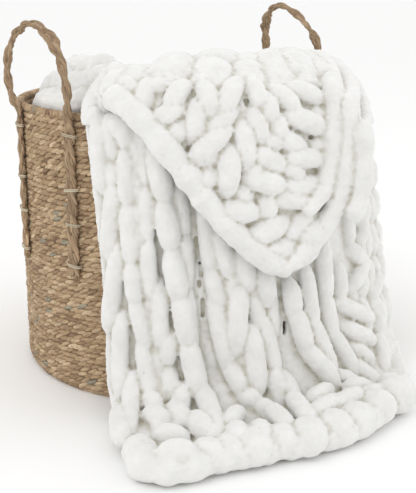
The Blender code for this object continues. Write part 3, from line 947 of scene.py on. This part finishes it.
# %% Ground behind the legs
GROUND_THICK = 0.008
GROUND_MESH = (36, 4)  # slabs across the cloth, and to each cell up it
FINE_MESH = (140, 9)
SLAB_OVERLAP = 0.62
EDGE_MARGIN = 0.012
EYELET_DEPTH = 0.005
SLAB_CORNERS = ((-1, -1), (1, -1), (1, 1), (-1, 1))
SLAB_FACES = ((0, 3, 2, 1), (4, 5, 6, 7), (0, 1, 5, 4), (1, 2, 6, 5), (2, 3, 7, 6), (3, 0, 4, 7))


def in_hole(place, holes):
    """Whether the camera sees a place inside one of the holes."""
    x, y = picture_spot(place)
    return any(((x - hx) / wide) ** 2 + ((y - hy) / tall) ** 2 < 1.0 for hx, hy, wide, tall in holes)


def flap_edge_height(across):
    """How low the flap hangs at its slanting free edge."""
    for (start, low), (end, high) in zip(FLAP_EDGE, FLAP_EDGE[1:]):
        if across <= end:
            return low + (high - low) * (across - start) / (end - start)
    return FLAP_EDGE[-1][1]


def lay_ground(yarn, low, high, last=1.0, thick=GROUND_THICK, holes=(), flap=False, mesh=GROUND_MESH):
    """Small overlapping slabs over part of the cloth."""
    places, faces = yarn
    columns = round(last * mesh[0])
    rows = round((high - low) * mesh[1])
    for row in range(rows):
        for column in range(columns):
            across = last * (column + 0.5) / columns
            up = low + (high - low) * (row + 0.5) / rows
            middle = cloth_point(across, up)
            if flap and up > START_OF["bend"] and middle.z < flap_edge_height(across) + EDGE_MARGIN:
                continue
            holed = in_hole(middle, holes)
            if holed and not flap:
                continue
            corners = []
            for da, du in SLAB_CORNERS:
                a = min(max(across + da * SLAB_OVERLAP * last / columns, 0.0), 1.0)
                u = min(max(up + du * SLAB_OVERLAP * (high - low) / rows, 0.0), STARTS[-1])
                corners.append((cloth_point(a, u), cloth_normal(a, u)))
            drop = EYELET_DEPTH if holed else 0.0
            first = len(places)
            for side in (-drop - thick / 2.0, -drop + thick / 2.0):
                places += [place + normal * side for place, normal in corners]
            faces += [tuple(first + index for index in face) for face in SLAB_FACES]


# %% Hang
YARN_RAISE = 0.006
APRON = (0.3, 3.2)
APRON_THICK = 0.010
HANG_REACH = 0.98
SIDE_WALES = 2
SIDE_CELLS = 1.2
SIDE_REACH = (0.80, 0.97)
STITCH_WIDTH = 0.024
STITCH_RAISE = 0.002

hang_yarn = ([], [])
lay_seen(hang_yarn, hang_form, HANG_CHAINS, YARN_RAISE, HANG_PLUSH)
lay_on_floor(hang_yarn, FLOOR_CHAINS)
lay_hem(hang_yarn, HEM_ROPE)
lay_ground(hang_yarn, *APRON, thick=APRON_THICK)
lay_ground(hang_yarn, START_OF["toe"], START_OF["tuck"], HANG_REACH, holes=HANG_SLITS, mesh=FINE_MESH)
lay_regular(hang_yarn, START_OF["foot"], START_OF["tuck"], SIDE_WALES, SIDE_CELLS, STITCH_WIDTH,
            STITCH_RAISE, *SIDE_REACH)
blanket_hang = fuse("blanket_hang", hang_yarn)

# %% Flap
EDGE_RAISE = 0.004
ROLLS_FROM = START_OF["brow"] - 1.0
ROLLS_TO = START_OF["bend"] + 0.8

flap_yarn = ([], [])
lay_seen(flap_yarn, flap_form, FLAP_CHAINS, YARN_RAISE, FLAP_PLUSH)
lay_edges(flap_yarn, (edge_form, hang_form), EDGE_CHAINS, EDGE_RAISE)
lay_rolls(flap_yarn, ROLLS_FROM, ROLLS_TO)
lay_free(flap_yarn, FREE_STRANDS)
lay_ground(flap_yarn, START_OF["lip"], STARTS[-1], holes=EYELETS, flap=True)
blanket_flap = fuse("blanket_flap", flap_yarn)

# %% Top layer
TOP_WALES = 9
TOP_CELLS = 1.05
TOP_RAISE = -0.002
TOP_TRIANGLES = 130000

top_yarn = ([], [])
lay_regular(top_yarn, START_OF["back fold"], START_OF["lip"], TOP_WALES, TOP_CELLS, STITCH_WIDTH, TOP_RAISE)
blanket_top = fuse("blanket_top", top_yarn, most=TOP_TRIANGLES)

# %% [markdown]
# Below the top layer the rest of the cloth lies folded back and forth. Little of it shows, so it has
# its plain thickness, the raised columns of its stitches, and its two thick edges.

# %% Folds inside the basket
FOLD_VOXEL = 0.0038
FOLD_TRIANGLES = 48000
FOLD_THICK = 0.014
FOLD_WALES = 7
FOLD_CELLS = 1.25
FOLD_WIDTH = 0.022
FOLD_EDGES = (0.025, 0.975)
EDGE_PLACES = 6

fold_low, fold_high = START_OF["tuck"], START_OF["back fold"] + 1
folds_yarn = ([], [])
lay_ground(folds_yarn, fold_low, fold_high, thick=FOLD_THICK)
lay_regular(folds_yarn, fold_low, fold_high, FOLD_WALES, FOLD_CELLS, FOLD_WIDTH, STITCH_RAISE)
for across in FOLD_EDGES:
    steps = [fold_low + index * 0.5 for index in range(int((fold_high - fold_low) * 2) + 1)]
    places = [cloth_point(across, up) for up in steps]
    for start in range(0, len(places) - EDGE_PLACES, EDGE_PLACES):
        bent = places[start:start + EDGE_PLACES + 1]
        normal = cloth_normal(across, steps[start + EDGE_PLACES // 2])
        add_rope(folds_yarn, bent, [normal] * len(bent), STITCH_WIDTH)
blanket_folds = fuse("blanket_folds", folds_yarn, FOLD_VOXEL, FOLD_TRIANGLES)

# %% [markdown]
# ## Chenille
# Chenille is matt and soft. Light goes a little way into the pile and comes out again, which
# subsurface scattering gives, and the pile's tips give a faint sheen. Shade is painted into the
# creases, a little darker and warmer, by the mark that each point of the meshes carries.

# %% Chenille
CHENILLE = {
    "Roughness": 0.95,
    "Sheen Weight": 0.25,
    "Sheen Roughness": 0.6,
    "Specular IOR Level": 0.15,
    "Subsurface Weight": 0.35,
    "Subsurface Radius": (1.0, 1.0, 0.9),
    "Subsurface Scale": 0.006,
}
CHENILLE_SHADES = ((0.3, (0.74, 0.735, 0.715)), (0.7, (0.80, 0.795, 0.78)))
# painted shade: the colour that darkens and warms the yarn in its creases
PAINTED_CREASE_SHADE_COLOUR = (0.50, 0.47, 0.38, 1.0)
# the Mix node's sockets for colours, which share their names with its sockets for numbers
MIX_SHARE, MIX_FIRST, MIX_SECOND, MIX_RESULT = 0, 6, 7, 2


def add_node(made, kind, inputs=None, **settings):
    """Adds a shader node to a material, with some inputs and settings of its own."""
    node = made.node_tree.nodes.new("ShaderNode" + kind)
    for name, value in settings.items():
        setattr(node, name, value)
    fill_in(node, inputs or {})
    return node


def add_ramp(made, stops):
    """A colour ramp through the stops, each a position and a colour."""
    ramp = add_node(made, "ValToRGB")
    elements = ramp.color_ramp.elements
    while len(elements) < len(stops):
        elements.new(0.5)
    for element, (position, colour) in zip(elements, stops):
        element.position = position
        element.color = (*colour, 1.0)
    return ramp


def wire(made, *links):
    """Joins nodes: each link is a node, its output, the next node and its input."""
    for node, output, following, entry in links:
        made.node_tree.links.new(node.outputs[output], following.inputs[entry])


def chenille_material():
    """White plush yarn, a little uneven in tone, with warm shade painted into its creases."""
    made, shader = new_material("chenille", CHENILLE)
    place = add_node(made, "TexCoord")
    pile = add_node(made, "TexNoise", {"Scale": 700.0, "Detail": 3.0})
    tone = add_node(made, "TexNoise", {"Scale": 60.0})
    blend = add_ramp(made, CHENILLE_SHADES)
    bump = add_node(made, "Bump", {"Strength": 0.35, "Distance": 0.001})
    crease = add_node(made, "Attribute", attribute_name="crease")
    # mixes the painted crease shade into the yarn's colour, by the crease mark
    painted_shade_mix = add_node(made, "Mix", {MIX_SECOND: PAINTED_CREASE_SHADE_COLOUR}, data_type="RGBA")
    wire(
        made,
        (place, "Object", pile, "Vector"),
        (place, "Object", tone, "Vector"),
        (tone, "Fac", blend, "Fac"),
        (crease, "Fac", painted_shade_mix, MIX_SHARE),
        (blend, "Color", painted_shade_mix, MIX_FIRST),
        (painted_shade_mix, MIX_RESULT, shader, "Base Color"),
        (pile, "Fac", bump, "Height"),
        (bump, "Normal", shader, "Normal"),
    )
    return made


chenille = chenille_material()
for piece in (blanket_hang, blanket_flap, blanket_top, blanket_folds):
    piece.data.materials.append(chenille)
    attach(piece, "root")
    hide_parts("knit_blanket")
    print(piece.name, "is chenille")

# %% [markdown]
# The four pieces are stretches of one sheet of cloth. The flat size of each stretch is printed, which is
# the size of the cloth's middle surface there: its mean width and its mean length.

FLAT_LINES = 12
FLAT_STEPS = 200


def line_length(places):
    return sum((end - start).length for start, end in zip(places, places[1:]))


def flat_size(low, high, last):
    """The mean width and length of part of the cloth's middle surface."""
    ups = [low + (high - low) * step / FLAT_LINES for step in range(FLAT_LINES + 1)]
    sides = [last * step / FLAT_LINES for step in range(FLAT_LINES + 1)]
    steps = [low + (high - low) * step / FLAT_STEPS for step in range(FLAT_STEPS + 1)]
    width = sum(line_length([cloth_point(across, up) for across in sides]) for up in ups) / len(ups)
    length = sum(line_length([cloth_point(across, up) for up in steps]) for across in sides) / len(sides)
    return round(width, 3), round(length, 3)


STRETCHES = (
    (blanket_hang, 0.0, START_OF["tuck"], 1.0),
    (blanket_flap, ROLLS_FROM, STARTS[-1], FLAP_SPREAD),
    (blanket_top, START_OF["back fold"], START_OF["lip"], 1.0),
    (blanket_folds, fold_low, fold_high, 1.0),
)
for piece, low, high, last in STRETCHES:
    flat = flat_size(low, high, last)
    print(piece.name, "is", flat, "metres flat")

# %% [markdown]
# ## Basket
# The basket is twined from a twisted plant fibre. Each short turn of the twist that shows is one
# slanting leaf, and the leaves lie end over end in level rows. One leaf is a small sphere, drawn out,
# and thousands of copies of it cover a plain dark wall, each with its own shade and a little disorder.

# %% Basket sizes
BASKET_RADIUS = 0.200
BASKET_HEIGHT = 0.335
BASKET_WALL = 0.009
FOOT_ROUNDING = 0.012


class Fibres:
    """A mesh in the making, whose points carry a shade and a place along their own fibre."""

    def __init__(self):
        self.places, self.faces, self.tones, self.fibres = [], [], [], []

    def add(self, shape, tone, grain, place_of):
        """Adds a copy of a shape: place_of moves each point, and grain draws out its streaks."""
        spots, faces = shape
        first = len(self.places)
        start = Vector((random.random(), random.random(), random.random())) * 10.0
        for spot in spots:
            self.places.append(place_of(spot))
            self.tones.append(tone)
            self.fibres.extend((spot.x + start.x, spot.y + start.y, spot.z * grain + start.z))
        self.faces += [tuple(first + corner for corner in face) for face in faces]

    def make(self, name, material):
        mesh = bpy.data.meshes.new(name)
        mesh.from_pydata(self.places, [], self.faces)
        mesh.attributes.new("tone", "FLOAT", "POINT").data.foreach_set("value", self.tones)
        mesh.attributes.new("fibre", "FLOAT_VECTOR", "POINT").data.foreach_set("vector", self.fibres)
        mesh.shade_smooth()
        mesh.materials.append(material)
        print(name, sum(len(face) - 2 for face in self.faces), "triangles")
        return add_object(name, mesh)


def fibre_material(name, stops, streaks, depth, contrast=(0.55, 1.24)):
    """Dry plant fibre: a shade for each strand, fine streaks along it and a faint waxy gloss."""
    made, shader = new_material(name, {"Roughness": 0.72, "Specular IOR Level": 0.3})
    darkest, lightest = contrast
    tone = add_node(made, "Attribute", attribute_name="tone")
    fibre = add_node(made, "Attribute", attribute_name="fibre")
    grain = add_node(made, "TexNoise", {"Scale": streaks, "Detail": 4.0})
    ramp = add_ramp(made, stops)
    reach = {"From Min": 0.3, "From Max": 0.7, "To Min": darkest, "To Max": lightest}
    streak = add_node(made, "MapRange", reach)
    shade = add_node(made, "VectorMath", operation="SCALE")
    bump = add_node(made, "Bump", {"Strength": 0.6, "Distance": depth})
    wire(
        made,
        (tone, "Fac", ramp, "Fac"),
        (fibre, "Vector", grain, "Vector"),
        (grain, "Fac", streak, "Value"),
        (ramp, "Color", shade, 0),
        (streak, "Result", shade, "Scale"),
        (shade, "Vector", shader, "Base Color"),
        (grain, "Fac", bump, "Height"),
        (bump, "Normal", shader, "Normal"),
    )
    return made


WEAVE_SHADES = (
    (0.0, (0.30, 0.27, 0.20)),
    (0.08, (0.36, 0.32, 0.24)),
    (0.12, (0.27, 0.17, 0.10)),
    (0.55, (0.46, 0.32, 0.19)),
    (1.0, (0.68, 0.52, 0.34)),
)
weave = fibre_material("twined_fibre", WEAVE_SHADES, 2.4, 0.0008)

# %% [markdown]
# The wall behind the leaves is a turned shell: a profile given a turn round the basket's axis. It is
# nearly hidden, and shows only as the dark between the leaves.

# %% Wall
CORE_INSET = 0.0026
CORE_STEPS = 96
CORE_BOTTOM = 0.0005
CORE_FLOOR = 0.0095
CORE_DROP = 0.004
FOOT_CUT = 0.3 * FOOT_ROUNDING
PIT_SHADES = ((0.0, (0.16, 0.105, 0.06)), (1.0, (0.32, 0.23, 0.14)))


def pit_material():
    """The shade between the leaves, with stray lighter fibres."""
    made, shader = new_material("weave_pits", {"Roughness": 0.9})
    place = add_node(made, "TexCoord")
    fibres = add_node(made, "TexNoise", {"Scale": 260.0})
    ramp = add_ramp(made, PIT_SHADES)
    wire(
        made,
        (place, "Object", fibres, "Vector"),
        (fibres, "Fac", ramp, "Fac"),
        (ramp, "Color", shader, "Base Color"),
    )
    return made


def basket_core():
    """The wall and base behind the leaves, turned from a profile by a Screw modifier."""
    outer = BASKET_RADIUS - CORE_INSET
    inner = BASKET_RADIUS - BASKET_WALL + CORE_INSET
    top = BASKET_HEIGHT - CORE_DROP
    profile = (
        (0.0, CORE_BOTTOM),
        (outer - FOOT_ROUNDING, CORE_BOTTOM),
        (outer - FOOT_CUT, FOOT_CUT),
        (outer, FOOT_ROUNDING),
        (outer, top),
        (inner, top),
        (inner, CORE_FLOOR),
        (0.0, CORE_FLOOR),
    )
    mesh = bpy.data.meshes.new("basket_core")
    places = [(radius, 0.0, height) for radius, height in reversed(profile)]
    mesh.from_pydata(places, [(index, index + 1) for index in range(len(places) - 1)], [])
    made = add_object("basket_core", mesh)
    steps = {"steps": CORE_STEPS, "render_steps": CORE_STEPS}
    apply_modifier(made, "SCREW", **steps, use_merge_vertices=True, merge_threshold=0.0001)
    bpy.ops.object.mode_set(mode="EDIT")
    bpy.ops.mesh.select_all(action="SELECT")
    bpy.ops.mesh.normals_make_consistent(inside=False)
    bpy.ops.object.mode_set(mode="OBJECT")
    made.data.materials.append(pit_material())
    print("basket_core", len(made.data.polygons), "faces")
    return made


# %% Leaves
WEAVE_ROWS = 50
INNER_ROWS = 12
LEAVES_ROUND = 128
LEAF_LENGTH = 0.0178
LEAF_WIDTH = 0.0062
LEAF_DEPTH = 0.0056
LEAF_SLANT = math.radians(19.0)
LEAF_SEGMENTS = 6
LEAF_RINGS = 4
LEAF_GRAIN = 0.35
GREY_LEAVES = 0.03
GREY_TONE = 0.09
WEAVE_DROP = 0.003
# disorder: in radians, in shares of a leaf's step round the wall, or in metres
SLANT_SPREAD = 0.10
LEAF_SIZES = (0.9, 1.12)
TIP_SPREAD = 0.0012
ROW_SPREAD = 0.12
STEP_SPREAD = 0.13
ROW_BULGES = (-0.0005, 0.0004)
DEPTH_SPREAD = 0.0005
HEIGHT_SPREAD = 0.0006


def strayed(most):
    """A random amount, either way."""
    return random.uniform(-most, most)


def leaf_tone():
    """A leaf's shade: a few leaves are grey, and the rest lie round the middle."""
    if random.random() < GREY_LEAVES:
        return random.uniform(0.0, GREY_TONE)
    return min(max(random.gauss(0.56, 0.17), 0.13), 1.0)


def wall_radius(height):
    """The wall's outer radius, drawn in where it rounds under to the base."""
    if height >= FOOT_ROUNDING:
        return BASKET_RADIUS
    below = FOOT_ROUNDING - height
    return BASKET_RADIUS - FOOT_ROUNDING + math.sqrt(max(FOOT_ROUNDING ** 2 - below ** 2, 0.0))


def wall_frame(turn):
    """The directions away from the basket's axis and round it."""
    return Vector((math.cos(turn), math.sin(turn), 0.0)), Vector((-math.sin(turn), math.cos(turn), 0.0))


def add_leaf(fibres, shape, turn, radius, height, outward):
    """One leaf on the wall: outward is 1 for the outer face, -1 for the inner one."""
    radial, tangent = wall_frame(turn)
    tangent = tangent * outward
    slant = LEAF_SLANT + strayed(SLANT_SPREAD)
    size = random.uniform(*LEAF_SIZES)
    forward = tangent * math.cos(slant) + Vector((0.0, 0.0, math.sin(slant)))
    side = Vector((0.0, 0.0, math.cos(slant))) - tangent * math.sin(slant)
    normal = radial * outward
    centre = Vector((radial.x * radius, radial.y * radius, height))
    tip = strayed(TIP_SPREAD)

    def place_of(spot):
        reach = spot.z * LEAF_LENGTH / 2.0 * size
        bow = (reach / radius) * reach / 2.0
        place = centre + forward * reach + side * (spot.x * LEAF_WIDTH / 2.0 * size + tip * spot.z)
        place += normal * (spot.y * LEAF_DEPTH / 2.0 - bow * outward)
        return Vector((place.x, place.y, max(place.z, FLOOR_GAP)))

    fibres.add(shape, leaf_tone(), LEAF_GRAIN, place_of)


def weave_rows(name, low, high):
    """The leaves of some of the wall's rows, counted from the floor."""
    fibres = Fibres()
    shape = sphere_shape(LEAF_SEGMENTS, LEAF_RINGS)
    pitch = (BASKET_HEIGHT - WEAVE_DROP) / WEAVE_ROWS
    step = 2.0 * math.pi / LEAVES_ROUND
    inner = BASKET_RADIUS - BASKET_WALL + LEAF_DEPTH / 2.0
    for row in range(low, high):
        height = pitch * (row + 0.5)
        shift = 0.5 * (row % 2) + strayed(ROW_SPREAD)
        bulge = random.uniform(*ROW_BULGES)
        for leaf in range(LEAVES_ROUND):
            turn = step * (leaf + shift + strayed(STEP_SPREAD))
            radius = wall_radius(height) - LEAF_DEPTH / 2.0 + bulge + strayed(DEPTH_SPREAD)
            add_leaf(fibres, shape, turn, radius, height + strayed(HEIGHT_SPREAD), 1.0)
            if row >= WEAVE_ROWS - INNER_ROWS:
                add_leaf(fibres, shape, turn, inner, height, -1.0)
    return fibres.make(name, weave)


# %% Rim
RIM_LEAVES = 210
RIM_SEGMENTS = 8
RIM_RINGS = 5
RIM_LEAN = 0.55
RIM_HALF = 0.0042
RIM_LEAF = 0.0080
RIM_THICK = 0.0036
RIM_SWING = 0.62 * math.pi
RIM_DROP = 0.0055
RIM_STEP_SPREAD = 0.1
RIM_LEAN_SPREAD = 0.12


def basket_rim():
    """The last turn of the twist, laid over the wall's edge."""
    fibres = Fibres()
    shape = sphere_shape(RIM_SEGMENTS, RIM_RINGS)
    middle = BASKET_RADIUS - BASKET_WALL / 2.0
    for leaf in range(RIM_LEAVES):
        radial, tangent = wall_frame(2.0 * math.pi * (leaf + strayed(RIM_STEP_SPREAD)) / RIM_LEAVES)
        centre = Vector((radial.x * middle, radial.y * middle, BASKET_HEIGHT - RIM_DROP))
        lean = RIM_LEAN + strayed(RIM_LEAN_SPREAD)

        def place_of(spot, centre=centre, radial=radial, tangent=tangent, lean=lean):
            swing = spot.z * RIM_SWING
            ring = radial * math.sin(swing) + UPWARD * math.cos(swing)
            along_rim = spot.x * RIM_LEAF / 2.0 + lean * swing * RIM_HALF
            return centre + ring * (RIM_HALF + spot.y * RIM_THICK / 2.0) + tangent * along_rim

        fibres.add(shape, leaf_tone(), LEAF_GRAIN, place_of)
    return fibres.make("basket_rim", weave)


weave_low = weave_rows("basket_weave_low", 0, WEAVE_ROWS // 2)
weave_high = weave_rows("basket_weave_high", WEAVE_ROWS // 2, WEAVE_ROWS)
core = basket_core()
rim = basket_rim()
for piece in (weave_low, weave_high, core, rim):
    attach(piece, "root")
    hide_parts("basket")

# %% [markdown]
# ## Handles
# Each handle is a flat braid of three strands, and each strand is three plies twisted round one
# another. A strand swings from side to side, and passes once in front and once behind while it does.
# The braid runs up one leg, turns its flat face upward over the top of the loop, and runs down the
# other leg.

# %% Braided handles
STRAP_GAP = 0.0003
STRAP_THICK = 0.0060
STRAP_STEPS = 12
STRAP_LOOK = 0.004
HANDLE_HALF_ANGLE = 15.3
LEG_HEIGHTS = (0.145, 0.210, 0.270, 0.326)
TWIST_FROM = 0.395
TWIST_TO = 0.425
LEFT_ARCH = (
    # half the loop's width, height, lean away from the basket
    (0.0595, 0.341, 0.0045),
    (0.0630, 0.358, 0.0065),
    (0.0605, 0.380, 0.0085),
    (0.0505, 0.401, 0.0085),
    (0.0350, 0.416, 0.0085),
    (0.0160, 0.4255, 0.0090),
    (0.0, 0.4290, 0.0095),
)
RIGHT_ARCH = (
    # in the same terms
    (0.0525, 0.345, 0.0080),
    (0.0515, 0.370, 0.0080),
    (0.0495, 0.388, 0.0055),
    (0.0460, 0.403, 0.0005),
    (0.0390, 0.415, -0.0055),
    (0.0300, 0.426, -0.0105),
    (0.0150, 0.4355, -0.0150),
    (0.0, 0.4400, -0.0180),
)
BRAID_PITCH = 0.082
BRAID_SWING = 0.0040
BRAID_DEPTH = 0.0013
PLIES = 3
PLY_PITCH = 0.034
PLY_SWING = 0.0020
PLY_DEPTH = 0.0009
PLY_WIDTH = 0.0046
PLY_THICK = 0.0032
PLY_SEGMENTS = 6
PLY_RINGS = 180
LINE_STEPS = 400
STRANDS = 3
STRAND_TONES = (0.2, 0.9)
STRAP_GRAIN = 16.0


def strap_line(side, arch):
    """Even places along the braid's middle, from one foot to the other."""
    radius = BASKET_RADIUS + STRAP_GAP + STRAP_THICK / 2.0
    plane = radius * math.cos(math.radians(HANDLE_HALF_ANGLE))
    reach = radius * math.sin(math.radians(HANDLE_HALF_ANGLE))
    rows = [(reach, height, 0.0) for height in LEG_HEIGHTS] + list(arch)
    up = [Vector((side * (plane + lean), half, height)) for half, height, lean in rows]
    points = up + [Vector((place.x, -place.y, place.z)) for place in reversed(up[:-1])]
    dense = smooth_curve(points, STRAP_STEPS)
    reached = [0.0]
    for start, end in zip(dense, dense[1:]):
        reached.append(reached[-1] + (end - start).length)
    line = []
    index = 0
    for step in range(LINE_STEPS + 1):
        goal = reached[-1] * step / LINE_STEPS
        while index < len(reached) - 2 and reached[index + 1] < goal:
            index += 1
        share = (goal - reached[index]) / (reached[index + 1] - reached[index])
        line.append(dense[index].lerp(dense[index + 1], share))
    return line, reached[-1]


def strap_face(side, centre, forward):
    """Which way the braid's outer face looks."""
    if centre.z < BASKET_HEIGHT:
        return Vector((centre.x, centre.y, 0.0)).normalized()
    sideways = Vector((side, 0.0, 0.0))
    upward = forward.cross(sideways)
    if upward.z < 0.0:
        upward.negate()
    share = min(max((centre.z - TWIST_FROM) / (TWIST_TO - TWIST_FROM), 0.0), 1.0)
    return sideways.lerp(upward, share * share * (3.0 - 2.0 * share)).normalized()


def strap_frame(line, side, share):
    """The braid's middle, its sideways direction and its outward one, part of the way along."""
    centre = along(line, share)
    forward = (along(line, share + STRAP_LOOK) - along(line, share - STRAP_LOOK)).normalized()
    outward = strap_face(side, centre, forward)
    across = forward.cross(outward).normalized()
    return centre, across, across.cross(forward).normalized()


def braided_handle(name, side, arch):
    """One handle: every ply of its strands is a ball, drawn out along the whole braid."""
    line, length = strap_line(side, arch)
    shape = sphere_shape(PLY_SEGMENTS, PLY_RINGS)
    fibres = Fibres()
    for ply in range(STRANDS * PLIES):
        offset = 2.0 * math.pi * (ply // PLIES) / STRANDS
        turn = 2.0 * math.pi * (ply % PLIES) / PLIES + offset

        def place_of(spot, offset=offset, turn=turn):
            share = pole_share(spot)
            centre, across, outward = strap_frame(line, side, share)
            swing = 2.0 * math.pi * share * length / BRAID_PITCH + offset
            twist = 2.0 * math.pi * share * length / PLY_PITCH + turn
            centre = centre + across * (BRAID_SWING * math.sin(swing) + PLY_SWING * math.cos(twist))
            centre += outward * (BRAID_DEPTH * math.sin(2.0 * swing) + PLY_DEPTH * math.sin(twist))
            close = min(1.0, math.sqrt(min(share, 1.0 - share) * PLY_RINGS / 2.0))
            x, y = round_part(spot)
            return centre + across * (x * close * PLY_WIDTH / 2.0) + outward * (y * close * PLY_THICK / 2.0)

        fibres.add(shape, random.uniform(*STRAND_TONES), length * STRAP_GRAIN, place_of)
    return fibres.make(name, rope)


ROPE_SHADES = (
    (0.0, (0.36, 0.33, 0.26)),
    (0.2, (0.30, 0.20, 0.12)),
    (0.6, (0.43, 0.30, 0.185)),
    (1.0, (0.62, 0.48, 0.32)),
)
rope = fibre_material("braided_fibre", ROPE_SHADES, 3.0, 0.0010, (0.42, 1.25))
HANDLES = (("handle_left", -1.0, LEFT_ARCH), ("handle_right", 1.0, RIGHT_ARCH))
for node, side, arch in HANDLES:
    braid = braided_handle(node + "_braid", side, arch)
    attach(braid, "root")
    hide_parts(node)

# %% [markdown]
# Pale twine sews each leg to the wall in four places. A tie is a thin strand that goes over the
# braid, and both of its ends sink between the leaves.

# %% Ties
TIE_HEIGHTS = (0.310, 0.248, 0.208, 0.160)
TIE_TURNS = (-0.0008, 0.0010)
TIE_REACH = 0.0105
TIE_RISE = 0.0085
TIE_ROUNDNESS = 0.45
TIE_THICK = 0.0015
TIE_SINK = 0.001
TIE_LEAN = 0.15
TIE_SEGMENTS = 6
TIE_RINGS = 14
TIE_GRAIN = 8.0
TIE_SHADES = ((0.0, (0.50, 0.42, 0.30)), (1.0, (0.74, 0.66, 0.50)))
twine = fibre_material("tie_twine", TIE_SHADES, 3.0, 0.0004)


def tie_place(spot, foot, radial, tangent, lean):
    """Where a ball's point goes on a tie, which arches over the braid above its foot."""
    swing = math.pi * pole_share(spot)
    over = -math.cos(swing) * TIE_REACH
    rise = math.sin(swing) ** TIE_ROUNDNESS * TIE_RISE
    middle = foot + tangent * over + radial * rise + UPWARD * (lean * over)
    x, y = round_part(spot)
    return middle + radial * (x * TIE_THICK / 2.0) + UPWARD * (y * TIE_THICK / 2.0)


def sewn_ties():
    """Two turns of twine at each height of each leg."""
    fibres = Fibres()
    shape = sphere_shape(TIE_SEGMENTS, TIE_RINGS)
    half = math.radians(HANDLE_HALF_ANGLE)
    for leg in (math.pi - half, math.pi + half, -half, half):
        radial, tangent = wall_frame(leg)
        for height in TIE_HEIGHTS:
            lean = strayed(TIE_LEAN)
            for turn in TIE_TURNS:
                foot = radial * (BASKET_RADIUS - TIE_SINK) + UPWARD * (height + turn)
                place_of = partial(tie_place, foot=foot, radial=radial, tangent=tangent, lean=lean)
                fibres.add(shape, random.uniform(*STRAND_TONES), TIE_GRAIN, place_of)
    return fibres.make("handle_ties", twine)


ties = sewn_ties()
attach(ties, "root")
